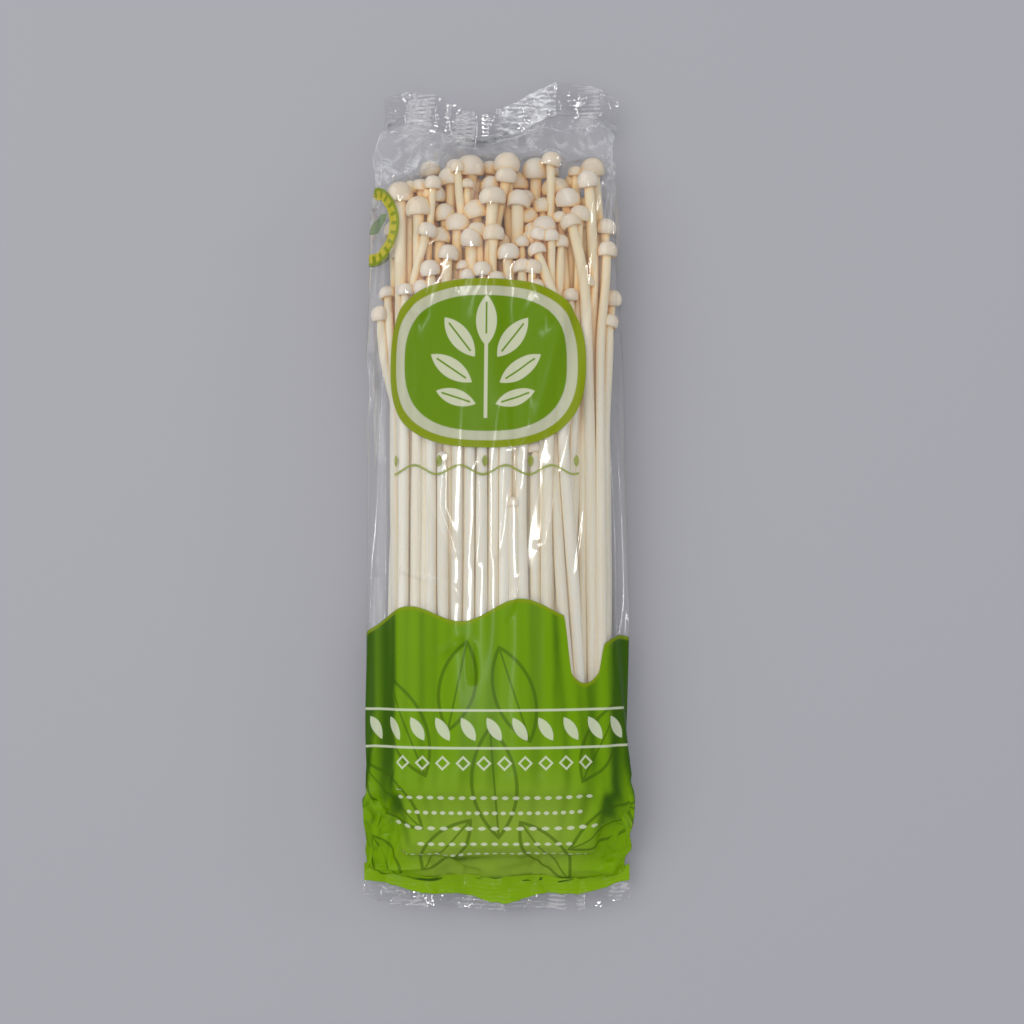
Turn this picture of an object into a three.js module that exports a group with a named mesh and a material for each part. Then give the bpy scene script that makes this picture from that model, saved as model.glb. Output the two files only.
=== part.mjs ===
// A bunch of enoki mushrooms sealed in a pillow pack of clear film, lying on its back.
// Millimetres. X runs across the pack, Y from the cut base to the caps, Z up from the surface below.
// The origin is on that surface, under the middle of the pack.
import * as THREE from "three";

// ---- Driving dimensions ----
const FILM_WALL = 0.5; // thickness of the film sheets, end seals included
const JOIN_GAP = 0.3; // clearance where two pieces meet
const PACK_END = 105; // both ends of the pack, from the origin along Y
const STEM_GAP = 0.35; // least clearance between two mushrooms
const ROOT_TOP = -74; // where the separate stems leave the fused base
const ROOT_CUT = -90; // the knife cut under the base
const SIDES = 6; // facets round a stem and its cap

// The pack along its length. fold is the height of the two side folds, crest and floor are the
// heights of the film above and below the middle of the bunch, and seam is how far the back seam
// pushes the floor up over it.
const STATIONS = [
  { y: -98.7, left: -34.6, right: 33.6, fold: 4.2, crest: 5.7, floor: 2.7, seam: 0 },
  { y: -95.5, left: -35.0, right: 34.6, fold: 5.0, crest: 12.4, floor: 1.4, seam: 0 },
  { y: -92.0, left: -35.3, right: 35.8, fold: 7.5, crest: 17.6, floor: 0.6, seam: 0 },
  { y: -86.0, left: -35.7, right: 36.8, fold: 9.0, crest: 19.4, floor: 0, seam: 1.2 },
  { y: -79.0, left: -34.8, right: 36.0, fold: 9.5, crest: 19.8, floor: 0, seam: 1.2 },
  { y: -68.0, left: -32.6, right: 33.0, fold: 9.5, crest: 20.0, floor: 0, seam: 1.2 },
  { y: -50.0, left: -31.5, right: 31.4, fold: 9.5, crest: 20.0, floor: 0, seam: 1.2 },
  { y: -30.0, left: -31.6, right: 30.8, fold: 9.5, crest: 20.0, floor: 0, seam: 1.2 },
  { y: 0.0, left: -32.8, right: 30.9, fold: 9.5, crest: 20.0, floor: 0, seam: 1.2 },
  { y: 25.0, left: -33.2, right: 30.8, fold: 9.5, crest: 20.0, floor: 0, seam: 1.2 },
  { y: 45.0, left: -33.2, right: 30.6, fold: 9.5, crest: 20.0, floor: 0, seam: 1.2 },
  { y: 58.0, left: -32.8, right: 30.4, fold: 9.3, crest: 19.6, floor: 0, seam: 1.2 },
  { y: 68.0, left: -32.6, right: 30.3, fold: 9.0, crest: 19.0, floor: 0, seam: 1.2 },
  { y: 76.0, left: -32.4, right: 30.2, fold: 8.6, crest: 18.2, floor: 0, seam: 1.2 },
  { y: 83.0, left: -32.2, right: 30.0, fold: 8.2, crest: 16.6, floor: 0, seam: 1.2 },
  { y: 88.0, left: -32.0, right: 30.0, fold: 7.6, crest: 13.6, floor: 0.3, seam: 0 },
  { y: 92.5, left: -31.6, right: 30.3, fold: 6.6, crest: 10.0, floor: 1.6, seam: 0 },
  { y: 98.2, left: -31.0, right: 31.0, fold: 5.5, crest: 7.0, floor: 4.0, seam: 0 },
];

// The mushrooms: where each cap's middle lies, its radius, and 1 where it lies behind its neighbours.
const CAPS = [
  [-6.3, 82.2, 3.4, 0], [-11.0, 79.2, 3.1, 0], [-11.8, 82.8, 2.6, 1], [-1.8, 82.2, 2.4, 1],
  [3.1, 82.8, 3.1, 0], [9.3, 81.8, 3.1, 0], [14.5, 77.2, 3.3, 0], [4.4, 78.8, 3.4, 0],
  [-1.5, 77.5, 2.6, 0], [-5.8, 77.8, 2.5, 1], [-15.8, 75.1, 3.1, 0], [-24.2, 74.8, 3.2, 0],
  [-21.1, 75.2, 2.8, 1], [-11.8, 73.0, 2.4, 1], [-1.2, 73.8, 3.2, 0], [4.6, 73.2, 3.0, 0],
  [11.5, 72.2, 2.6, 0], [17.1, 73.8, 3.2, 0], [23.0, 81.8, 2.9, 0], [23.0, 78.2, 2.5, 0],
  [19.5, 79.2, 2.4, 1], [-18.8, 71.0, 3.1, 0], [-4.8, 70.5, 3.0, 0], [7.8, 69.5, 2.9, 0],
  [-10.0, 67.2, 3.1, 0], [12.2, 66.2, 2.9, 0], [21.2, 68.5, 2.7, 0], [25.2, 67.5, 2.5, 0],
  [-14.5, 63.9, 2.7, 0], [2.2, 64.0, 2.4, 1], [1.2, 62.4, 2.4, 0], [8.0, 63.4, 2.4, 0],
  [-5.6, 62.8, 2.7, 0], [14.5, 60.0, 2.4, 0], [-11.8, 59.2, 2.5, 0], [4.1, 59.5, 2.8, 0],
  [22.0, 60.2, 2.2, 0], [26.4, 62.2, 2.0, 0], [-19.5, 62.2, 2.0, 1], [6.2, 55.8, 2.4, 0],
  [-19.6, 55.2, 2.4, 0], [-2.2, 55.0, 2.3, 0], [-6.8, 53.2, 2.0, 0], [0.0, 52.5, 2.1, 0],
  [-12.5, 50.9, 1.8, 0], [13.5, 50.9, 2.0, 0], [-27.2, 50.1, 2.0, 0], [21.0, 49.2, 1.8, 0],
  [26.4, 48.5, 1.9, 0], [-28.4, 45.1, 1.9, 0], [26.0, 43.5, 2.0, 0], [14.0, 10.5, 1.8, 0],
].map(([x, y, radius, behind]) => ({ x, y, radius, behind }));

// ---- Materials ----
const mushroomFlesh = new THREE.MeshStandardMaterial({ color: 0xefe4c8, roughness: 0.6 });
const baseFlesh = new THREE.MeshStandardMaterial({ color: 0xe2d2ac, roughness: 0.75 });
const clearFilm = new THREE.MeshStandardMaterial({
  color: 0xe8edf0,
  roughness: 0.12,
  transparent: true,
  opacity: 0.35,
});

// ---- The pack's shape ----
const mix = THREE.MathUtils.lerp;

// The pack's measurements at any y, straight between the two nearest stations.
function packAt(y) {
  const last = STATIONS.length - 2;
  const found = STATIONS.findIndex((s, i) => i > last || y < STATIONS[i + 1].y);
  const a = STATIONS[Math.min(found, last)];
  const b = STATIONS[Math.min(found, last) + 1];
  const t = THREE.MathUtils.clamp((y - a.y) / (b.y - a.y), 0, 1);
  return Object.fromEntries(Object.keys(a).map((key) => [key, mix(a[key], b[key], t)]));
}

const SECTION_POWER = 0.75; // under 1 squares the pack's section off, 1 is an ellipse
const FLAT_SHARE = 1.2; // over 1 gives the underside a flat of its own
const SEAM_REACH = 9; // from the middle, how far the back seam lifts the film
const squareOff = (value) => Math.sign(value) * Math.abs(value) ** SECTION_POWER;

// A slight wave in both flat ends, which grows from the bunch to the seal.
const WAVE_HEIGHT = 1.2;
const WAVE_LENGTH = 38;
const WAVE_START = 88;
function endWave(x, y) {
  const share = THREE.MathUtils.smoothstep(Math.abs(y), WAVE_START, PACK_END);
  return WAVE_HEIGHT * share * Math.sin((2 * Math.PI * x) / WAVE_LENGTH + Math.sign(y));
}

// A point on the film round the pack. turn 0 is the right fold, PI / 2 the crest, PI the left fold
// and -PI / 2 the floor.
function filmPoint(turn, y) {
  const pack = packAt(y);
  const x = mix(pack.left, pack.right, (squareOff(Math.cos(turn)) + 1) / 2);
  const half = JOIN_GAP / 2;
  const rise = Math.abs(squareOff(Math.sin(turn)));
  let z = pack.fold + half + (pack.crest - pack.fold - half) * rise;
  if (turn < 0) {
    const lift = pack.seam * Math.max(0, 1 - Math.abs(x) / SEAM_REACH);
    const depth = pack.fold - half - pack.floor;
    z = Math.max(pack.fold - half - depth * Math.min(1, FLAT_SHARE * rise), pack.floor + lift);
    z = Math.min(z, pack.fold - half);
  }
  return new THREE.Vector3(x, y, z + endWave(x, y));
}

// One film sheet, from one turn to a smaller one, with its wall inside the points of filmPoint.
const SHEET_COLUMNS = 16;
function filmSheet(name, fromTurn, toTurn) {
  const rows = STATIONS.length - 1;
  const sheet = new THREE.BoxGeometry(1, rows, 1, SHEET_COLUMNS, rows, 1);
  const position = sheet.getAttribute("position");
  const step = 1e-3;
  for (let i = 0; i < position.count; i++) {
    const turn = mix(fromTurn, toTurn, position.getX(i) + 0.5);
    const y = STATIONS[Math.round(position.getY(i) + rows / 2)].y;
    const inset = (0.5 - position.getZ(i)) * FILM_WALL;
    const point = filmPoint(turn, y);
    const across = filmPoint(turn - step, y).sub(filmPoint(turn + step, y));
    const inwards = new THREE.Vector3(-across.z, 0, across.x).normalize().negate();
    point.addScaledVector(inwards, inset);
    position.setXYZ(i, point.x, point.y, point.z);
  }
  const mesh = new THREE.Mesh(sheet, clearFilm);
  mesh.name = name;
  return mesh;
}

// An end seal: both sheets welded flat and crimped into ridges across the pack.
const SEAL_COLUMNS = 14;
const CRIMP_ROWS = 8;
const CRIMP_DEPTH = 0.35;
const SEAL_NOTCH = 0.8; // how far the cut edge zigzags
function endSeal(name, filmEnd, side) {
  const end = packAt(filmEnd);
  const start = filmEnd + side * JOIN_GAP;
  const length = PACK_END - Math.abs(start);
  const width = end.right - end.left - 1;
  const middle = (end.right + end.left) / 2;
  const strip = new THREE.BoxGeometry(width, length, FILM_WALL, SEAL_COLUMNS, CRIMP_ROWS, 1);
  strip.translate(middle, start + (side * length) / 2, end.fold);
  const position = strip.getAttribute("position");
  for (let i = 0; i < position.count; i++) {
    const x = position.getX(i);
    const row = Math.round(((position.getY(i) - start) * side * CRIMP_ROWS) / length);
    const ridge = row % 2 ? CRIMP_DEPTH : 0;
    const column = Math.round(((x - middle + width / 2) * SEAL_COLUMNS) / width);
    const notch = row === CRIMP_ROWS && column % 2 ? SEAL_NOTCH : 0;
    position.setY(i, position.getY(i) - side * notch);
    position.setZ(i, position.getZ(i) + ridge + endWave(x, side * PACK_END));
  }
  const mesh = new THREE.Mesh(strip, clearFilm);
  mesh.name = name;
  return mesh;
}

// The lengthwise seam of the film, folded flat under the back.
const FIN = { width: 8, wall: 0.4, start: -88, end: 82 };
function finSeal() {
  const strip = new THREE.BoxGeometry(FIN.width, FIN.end - FIN.start, FIN.wall);
  strip.translate(0, (FIN.start + FIN.end) / 2, FIN.wall / 2);
  const mesh = new THREE.Mesh(strip, clearFilm);
  mesh.name = "back_fin_seal";
  return mesh;
}

// ---- The bunch ----
const BUNCH_POWER = 2.4; // how square the bunch's section is at the front
const BUNCH_POWER_BACK = 3.4; // and at the back, which the table presses flat
const BUNCH_CLEAR = 0.6; // between the bunch and the film
const SIDE_CLEAR = 2.6; // the film's flat strip beside the bunch
// The room for the bunch at y, as a rounded section: its middle and half sizes.
function roomAt(y) {
  const pack = packAt(y);
  const top = pack.crest - FILM_WALL - BUNCH_CLEAR;
  const bottom = pack.floor + pack.seam + FILM_WALL + BUNCH_CLEAR;
  return {
    x: (pack.left + pack.right) / 2,
    z: (top + bottom) / 2,
    halfWidth: (pack.right - pack.left) / 2 - SIDE_CLEAR,
    halfHeight: (top - bottom) / 2,
  };
}

// Where a stem can bend, as heights along Y.
const JOINTS = [ROOT_TOP + JOIN_GAP, -50, -25, 0, 18, 32, 42, 50, 57, 64, 71, 78, 85, 92];
const NECK = { share: 0.9, height: -0.6 }; // the stem's thin top, under the cap
const NECK_CLEAR = 1.5; // no bend nearer than this to the neck
// A cap's outline from its underside to its top: radius and height, as shares of its own radius.
const CAP_OUTLINE = [
  [0.86, -0.5],
  [1, -0.2],
  [0.86, 0.35],
  [0.5, 0.72],
  [0, 0.86],
];

// A mushroom's outline as [radius, y] pairs from the root up to the top of the cap.
const stemRadius = (capRadius) => 0.7 + 0.24 * capRadius;
function outlineOf({ y, radius }) {
  const stem = stemRadius(radius);
  const neck = y + NECK.height * radius;
  const rings = JOINTS.filter((height) => height < neck - NECK_CLEAR);
  return [
    [0, JOINTS[0]],
    ...rings.map((height) => [stem, height]),
    [stem * NECK.share, neck],
    ...CAP_OUTLINE.map(([wide, high]) => [radius * wide, y + radius * high]),
  ];
}

// The value at y on a line of [value, y] pairs.
function along(line, y) {
  const k = THREE.MathUtils.clamp(line.findIndex((pair) => pair[1] > y), 1, line.length - 1);
  const [a, from] = line[k - 1];
  const [b, to] = line[k];
  return to > from ? mix(a, b, THREE.MathUtils.clamp((y - from) / (to - from), 0, 1)) : b;
}

// Starts every stem as a straight line from the base to its cap. The taller a mushroom is, the
// deeper it lies in the bunch, because the short ones grow round the outside.
const CROWN = { low: 44, high: 83 }; // the lowest and highest caps of the crown
const NEAR = 0.85; // how near the top face the lowest caps lie: 1 is the face, 0 the middle
const DEEP = 0.15; // the same for the highest caps
const BEHIND = 0.7; // how much deeper a cap behind its neighbours lies
const ROOT_SHARE = 0.9; // how much the bunch narrows from the caps to the base
const ROOT_FILL = 0.8; // how much of the room's height the roots use
const bunch = CAPS.map((cap) => {
  const room = roomAt(cap.y);
  const height = THREE.MathUtils.smoothstep(cap.y, CROWN.low, CROWN.high);
  const depth = mix(NEAR, DEEP, height) - BEHIND * cap.behind;
  const capZ = room.z + depth * (room.halfHeight - cap.radius);
  const joints = JOINTS.map((y) => {
    const share = THREE.MathUtils.clamp((y - ROOT_TOP) / (cap.y - ROOT_TOP), 0, 1);
    const rootZ = roomAt(y).z + depth * roomAt(y).halfHeight * ROOT_FILL;
    return { x: cap.x * mix(ROOT_SHARE, 1, share), z: mix(rootZ, capZ, share) };
  });
  return { ...cap, capZ, joints, outline: outlineOf(cap) };
});

// Where a mushroom's middle is at y, between its two nearest joints.
function placeAt(mushroom, y) {
  const k = THREE.MathUtils.clamp(JOINTS.findIndex((j) => j > y), 1, JOINTS.length - 1);
  const share = THREE.MathUtils.clamp((y - JOINTS[k - 1]) / (JOINTS[k] - JOINTS[k - 1]), 0, 1);
  const [below, above] = [mushroom.joints[k - 1], mushroom.joints[k]];
  return { below, above, share, x: mix(below.x, above.x, share), z: mix(below.z, above.z, share) };
}

// Moves a place by moving the joints below and above it, the nearer one more.
const LEAST_MOVE = 0.4;
function push(place, dx, dz) {
  for (const [joint, share] of [[place.below, 1 - place.share], [place.above, place.share]]) {
    joint.x += dx * mix(LEAST_MOVE, 1, share);
    joint.z += dz * mix(LEAST_MOVE, 1, share);
  }
}

// Keeps a disc of this radius inside the bunch's room at y.
function keepIn(place, radius, y) {
  const room = roomAt(y);
  const u = (place.x - room.x) / Math.max(room.halfWidth - radius, 0.5);
  const w = (place.z - room.z) / Math.max(room.halfHeight - radius, 0.5);
  const power = w > 0 ? BUNCH_POWER : BUNCH_POWER_BACK;
  const reach = (Math.abs(u) ** power + Math.abs(w) ** power) ** (1 / power);
  if (reach > 1) {
    push(place, (room.x - place.x) * (1 - 1 / reach), (room.z - place.z) * (1 - 1 / reach));
  }
}

// Presses the mushrooms apart, level by level, until none cuts into another.
const LEVEL_STEP = 2;
const TOP_LEVEL = 86;
const PASSES = 700;
const PRESS = 0.3; // the share of an overlap that one pass clears on each side
const SPARE = 1.3; // times STEM_GAP, because the faceted rings reach less than round ones
const EASE_END = 0.8; // the share of the passes after which the stems only press apart
const CAP_PULL = 0.08; // how hard a cap is drawn back to its own place across the pack
const CAP_PULL_DEPTH = 0.024; // the same, up and down
const STRAIGHTEN = 0.8; // how hard a stem resists bending
const LIFT = 0.015; // how hard these front mushrooms are pressed up against the front film
function settle() {
  const levels = [];
  for (let y = JOINTS[0]; y < TOP_LEVEL; y += LEVEL_STEP) {
    levels.push(
      bunch
        .filter((m) => along(m.outline, y) > 0 && y < m.outline.at(-1)[1])
        .map((m) => ({ m, y, radius: along(m.outline, y) })),
    );
  }
  for (let pass = 0; pass < PASSES; pass++) {
    for (const level of levels) {
      for (const disc of level) disc.place = placeAt(disc.m, disc.y);
      level.forEach((a, i) => {
        for (const b of level.slice(i + 1)) {
          const dx = b.place.x - a.place.x;
          const dz = b.place.z - a.place.z;
          const apart = Math.hypot(dx, dz) || 1e-6;
          const short = a.radius + b.radius + STEM_GAP * SPARE - apart;
          if (short > 0) {
            const move = (short * PRESS) / apart;
            push(a.place, -dx * move, -dz * move);
            push(b.place, dx * move, dz * move);
          }
        }
      });
      for (const disc of level) keepIn(placeAt(disc.m, disc.y), disc.radius, disc.y);
    }
    // Stems straighten strongly at first, then less and less, and at last they only press apart.
    const ease = Math.max(0, 1 - pass / (PASSES * EASE_END));
    for (const m of bunch) {
      const cap = placeAt(m, m.y);
      push(cap, (m.x - cap.x) * ease * CAP_PULL, (m.capZ - cap.z) * ease * CAP_PULL_DEPTH);
      for (let k = 1; k < JOINTS.length - 1; k++) {
        const share = (JOINTS[k] - JOINTS[k - 1]) / (JOINTS[k + 1] - JOINTS[k - 1]);
        const [below, joint, above] = m.joints.slice(k - 1, k + 2);
        joint.x += (mix(below.x, above.x, share) - joint.x) * ease * STRAIGHTEN;
        joint.z += (mix(below.z, above.z, share) - joint.z) * ease * STRAIGHTEN;
        joint.z += ease * LIFT;
      }
    }
  }
}

// A mushroom: a turned outline whose rings slide sideways to follow the stem's line.
function mushroomMesh(mushroom, index) {
  const outline = mushroom.outline.map(([radius, y]) => new THREE.Vector2(radius, y));
  const turned = new THREE.LatheGeometry(outline, SIDES);
  const position = turned.getAttribute("position");
  for (let i = 0; i < position.count; i++) {
    const place = placeAt(mushroom, position.getY(i));
    position.setX(i, position.getX(i) + place.x);
    position.setZ(i, position.getZ(i) + place.z);
  }
  const mesh = new THREE.Mesh(turned, mushroomFlesh);
  mesh.name = `mushroom_${String(index + 1).padStart(2, "0")}`;
  return mesh;
}

// The fused base: a block of grown-together stem ends, fluted round its rim and cut flat below.
const BASE_HALF_WIDTH = 26.5;
const BASE_BEVEL = 1.2;
const FLUTES = 26;
const FLUTE_DEPTH = 0.55;
function baseMesh() {
  const room = roomAt((ROOT_CUT + ROOT_TOP) / 2);
  const halfHeight = room.halfHeight - FLUTE_DEPTH - 2 * JOIN_GAP;
  const points = [];
  for (let i = 0; i < FLUTES * 2; i++) {
    const turn = (Math.PI * i) / FLUTES;
    const reach = i % 2 ? FLUTE_DEPTH : -FLUTE_DEPTH;
    const x = (BASE_HALF_WIDTH + reach) * squareOff(Math.cos(turn));
    const z = (halfHeight + reach) * squareOff(Math.sin(turn));
    points.push(new THREE.Vector2(x, z));
  }
  const block = new THREE.ExtrudeGeometry(new THREE.Shape(points), {
    depth: ROOT_TOP - ROOT_CUT - 2 * BASE_BEVEL,
    bevelSize: BASE_BEVEL,
    bevelOffset: -BASE_BEVEL,
    bevelThickness: BASE_BEVEL,
    bevelSegments: 1,
  });
  block.rotateX(Math.PI / 2);
  block.translate(room.x, ROOT_TOP - BASE_BEVEL, room.z);
  const mesh = new THREE.Mesh(block, baseFlesh);
  mesh.name = "root_base";
  return mesh;
}

// ---- The whole pack ----
settle();
const pack = new THREE.Group();
const bunchGroup = new THREE.Group();
bunchGroup.add(baseMesh(), ...bunch.map(mushroomMesh));
pack.add(
  bunchGroup,
  filmSheet("film_front", Math.PI, 0),
  filmSheet("film_back", 0, -Math.PI),
  endSeal("seal_top", STATIONS.at(-1).y, 1),
  endSeal("seal_bottom", STATIONS[0].y, -1),
  finSeal(),
);

// The origin goes to the middle of the pack, on the surface that it lies on.
const bounds = new THREE.Box3().setFromObject(pack, true);
const middle = bounds.getCenter(new THREE.Vector3());
pack.position.set(-middle.x, -middle.y, -bounds.min.z);

export default pack;
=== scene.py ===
# %% [markdown]
# # A bunch of enoki in its clear pack
#
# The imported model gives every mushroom's place, the base and the outline of the pack. This script gives
# them their looks: real stems and caps, the fused base, the thin printed film with its creases, and soft
# light. Lengths in this script are in metres unless a name says otherwise.

# %% Load the frame
import math

import bpy
import numpy as np
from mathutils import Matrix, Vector, noise
from mathutils.bvhtree import BVHTree


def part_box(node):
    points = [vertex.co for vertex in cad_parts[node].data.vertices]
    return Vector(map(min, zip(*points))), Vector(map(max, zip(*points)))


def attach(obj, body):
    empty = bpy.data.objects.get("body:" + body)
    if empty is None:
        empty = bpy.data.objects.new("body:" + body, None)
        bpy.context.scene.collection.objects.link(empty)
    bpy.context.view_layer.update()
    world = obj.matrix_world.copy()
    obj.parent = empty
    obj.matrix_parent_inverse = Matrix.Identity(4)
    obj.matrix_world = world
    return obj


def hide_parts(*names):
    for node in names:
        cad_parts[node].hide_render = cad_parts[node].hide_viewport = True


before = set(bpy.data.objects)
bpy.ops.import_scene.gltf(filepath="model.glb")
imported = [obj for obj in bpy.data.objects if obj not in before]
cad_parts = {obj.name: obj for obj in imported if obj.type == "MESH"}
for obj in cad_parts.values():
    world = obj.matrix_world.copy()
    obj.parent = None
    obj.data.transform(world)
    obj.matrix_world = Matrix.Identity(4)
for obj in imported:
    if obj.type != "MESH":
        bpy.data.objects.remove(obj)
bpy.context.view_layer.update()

MM = 0.001
random = np.random.default_rng(7)

# %% [markdown]
# ## Reading the mushrooms from the frame
#
# Each CAD mushroom is a stack of six-sided rings. The middle of each ring is a point of the stem's line,
# and the widest ring gives the cap. Everything that follows is grown along these lines, so no mushroom
# leaves its place.

# %% Rings of a CAD mushroom
RIM_SHARE = 0.2  # how far under the cap's middle its widest ring lies, as a share of its radius
NECK_SHARE = 0.6  # how far under it the stem ends


def numbers(elements, name, width, kind=float):
    """The numbers of this name on a mesh's points, edges, faces or corners, a row for each."""
    values = np.empty(len(elements) * width, dtype=kind)
    elements.foreach_get(name, values)
    return values.reshape(-1, width)


def mesh_points(piece):
    return numbers(piece.data.vertices, "co", 3)


def read_mushroom(name):
    """The stem's line and the cap of a CAD mushroom, in metres."""
    points = mesh_points(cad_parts[name])
    rings = []
    for height in np.unique(points[:, 1].round(5)):
        ring = np.unique(points[np.abs(points[:, 1] - height) < 1e-5].round(6), axis=0)
        middle = (ring.min(axis=0) + ring.max(axis=0)) / 2
        reach = np.hypot(ring[:, 0] - middle[0], ring[:, 2] - middle[2]).max()
        rings.append((middle[0], height, middle[2], reach))
    rings = np.array(rings)
    widest = rings[rings[:, 3].argmax()]
    return {
        "line": rings[:, :3],
        "stem": rings[1, 3],
        "cap": widest[3],
        "cap_y": widest[1] + RIM_SHARE * widest[3],
    }


names = sorted(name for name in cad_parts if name.startswith("mushroom_"))
front_mushrooms = [read_mushroom(name) for name in names]
ROOT_Y = min(m["line"][0, 1] for m in front_mushrooms)
print(len(names), "mushrooms, with their roots at", round(ROOT_Y, 4))

# %% [markdown]
# ## The mushrooms behind
#
# A bunch holds well over a hundred mushrooms, and the frame holds those that show in front. The others
# are placed here, in the room that is left. Each starts as a straight line where the bunch is emptiest.
# Then all discs that the lines cut at many levels are pressed apart, a little at a time, while the front
# ones stay where they are.

# %% The bunch's room, and the discs that a mushroom cuts in it
HIDDEN_COUNT = 98
LEVELS = np.arange(ROOT_Y, 0.086, 0.004)
JOINT_Y = np.array([
    ROOT_Y, -0.05, -0.025, 0, 0.018, 0.032, 0.042, 0.05, 0.057, 0.064, 0.071, 0.078, 0.085, 0.092,
])
SECTION_MIDDLE = np.array([0.0, 0.0106])
SECTION_HALF = np.array([0.0284, 0.0085])
FRONT_POWER = 2.4  # how square the bunch's section is at the front
BACK_POWER = 3.4  # and at the back, where it lies flat


def line_at(line, heights):
    """The line's x and z at these heights."""
    return np.stack([np.interp(heights, line[:, 1], line[:, axis]) for axis in (0, 2)], axis=-1)


def disc_radii(stem, cap, cap_y):
    """A mushroom's radius at each level: 0 above its cap."""
    over = (LEVELS - cap_y) / cap
    dome = cap * np.sqrt(np.clip(1 - (np.clip(over, 0, None) / 0.86) ** 2, 0, 1))
    return np.where(over < -NECK_SHARE, stem, np.where(over < 0.86, np.maximum(dome, stem), 0))


def past_edge(places, room):
    """How far places reach: over 1 is outside the bunch's rounded section."""
    reach = (places - SECTION_MIDDLE) / room
    power = np.where(reach[..., 1] > 0, FRONT_POWER, BACK_POWER)
    return (np.abs(reach) ** power[..., None]).sum(axis=-1) ** (1 / power)


front_discs = np.stack([line_at(m["line"], LEVELS) for m in front_mushrooms])
front_radii = np.stack([disc_radii(m["stem"], m["cap"], m["cap_y"]) for m in front_mushrooms])
print("front discs", front_discs.shape)

# %% Start the hidden ones where there is room
TRIES = 70
TALL_CAP, SHORT_CAP, STEM_RANGE = (0.0017, 0.0026), (0.0013, 0.0017), (0.0009, 0.00115)  # radii, from and to
SIDE_STEM = 0.0011
NARROW = 0.92  # the bunch's width at the root, as a share of that at the caps
PINNED_REACH = 0.016
# The mushrooms at the bunch's sides have set places: the cap's middle and radius, in millimetres.
SIDE_MUSHROOMS = [
    (-28.2, 50.2, 9.6, 2.2), (-29.8, 44.6, 9.0, 2.3), (-26.8, 66.5, 7.4, 2.4),
    (26.6, 66.8, 9.4, 2.6), (27.0, 60.4, 12.6, 2.3), (28.4, 48.6, 9.2, 2.3), (27.4, 42.6, 12.0, 2.3),
]
spread = NARROW + (1 - NARROW) * np.clip((JOINT_Y - ROOT_Y) / (0.08 - ROOT_Y), 0, 1)
level_spread = np.interp(LEVELS, JOINT_Y, spread)

discs, radii = front_discs, front_radii
hidden, starts = [], []
for x, y, z, cap in SIDE_MUSHROOMS:
    hidden.append({"cap": cap * MM, "stem": SIDE_STEM, "cap_y": y * MM})
    starts.append(np.array([x, z]) * MM - SECTION_MIDDLE)
    side_x = SECTION_MIDDLE[0] + starts[-1][0] * level_spread
    side_line = np.stack([side_x, np.full(len(LEVELS), z * MM)], axis=-1)
    discs = np.concatenate([discs, side_line[None]])
    radii = np.concatenate([radii, disc_radii(SIDE_STEM, cap * MM, y * MM)[None]])
while len(hidden) < HIDDEN_COUNT:
    spots = random.uniform(-0.95, 0.95, (TRIES, 2)) * SECTION_HALF
    spots = spots[past_edge(spots + SECTION_MIDDLE, SECTION_HALF * 0.9) < 1]
    tall = len(hidden) % 8 > 0  # one in eight is a short one that fills the bunch low down
    rise = random.uniform() ** 0.8
    if tall:  # the higher a cap stands, the further back it is
        spots = spots[spots[:, 1] < SECTION_HALF[1] * (1.1 - 1.1 * rise)]
    cap_y = 0.05 + 0.034 * rise if tall else random.uniform(-0.02, 0.03)
    paths = np.stack([
        SECTION_MIDDLE[0] + spots[:, :1] * level_spread,
        np.repeat(SECTION_MIDDLE[1] + spots[:, 1:], len(LEVELS), axis=1),
    ], axis=-1)
    cap = random.uniform(*(TALL_CAP if tall else SHORT_CAP))
    stem = random.uniform(*STEM_RANGE)
    radius = disc_radii(stem, cap, cap_y)
    clear = np.hypot(*np.moveaxis(paths[:, None] - discs[None], -1, 0)) - radii - radius
    clear = np.where((radii > 0)[None] & (radius > 0)[None, None], clear, 1)
    clear = np.sort(clear.reshape(len(spots), -1), axis=1)[:, :20].mean(axis=1)
    best = clear.argmax()
    edge = (np.abs(spots[best]) / SECTION_HALF).max() ** 4
    hidden.append({"cap": cap, "stem": stem, "cap_y": cap_y - 0.008 * edge * tall})
    starts.append(spots[best])
    discs = np.concatenate([discs, paths[best][None]])
    radii = np.concatenate([radii, radius[None]])
print(len(hidden), "more mushrooms behind and between")

# %% Press the lines apart
PRESS_PASSES = 420
TOUCH_SHARE = 0.98  # neighbours press into each other a little

starts = np.array(starts)
joints = np.stack([
    SECTION_MIDDLE[0] + starts[:, :1] * spread,
    np.repeat(SECTION_MIDDLE[1] + starts[:, 1:], len(JOINT_Y), axis=1),
], axis=-1)
hidden_radii = np.stack([disc_radii(m["stem"], m["cap"], m["cap_y"]) for m in hidden])
radii = np.concatenate([front_radii, hidden_radii])
lower = np.clip(np.searchsorted(JOINT_Y, LEVELS, side="right") - 1, 0, len(JOINT_Y) - 2)
part = (LEVELS - JOINT_Y[lower]) / (JOINT_Y[lower + 1] - JOINT_Y[lower])
weights = np.zeros((len(LEVELS), len(JOINT_Y)))
weights[np.arange(len(LEVELS)), lower] = 1 - part
weights[np.arange(len(LEVELS)), lower + 1] = part
pinned = np.zeros(joints.shape[:2], dtype=bool)
for number, (x, y, z, cap) in enumerate(SIDE_MUSHROOMS):
    pinned[number] = JOINT_Y > y * MM - PINNED_REACH
    joints[number, pinned[number]] = (x * MM, z * MM)
pinned_joints = joints[pinned]
fixed = len(front_discs)
here = radii > 0
touch = (radii[fixed:, None] + radii[None]) * TOUCH_SHARE * (here[fixed:, None] & here[None])
touch[np.arange(len(hidden)), fixed + np.arange(len(hidden))] = 0
room = SECTION_HALF - hidden_radii[..., None]
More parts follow.
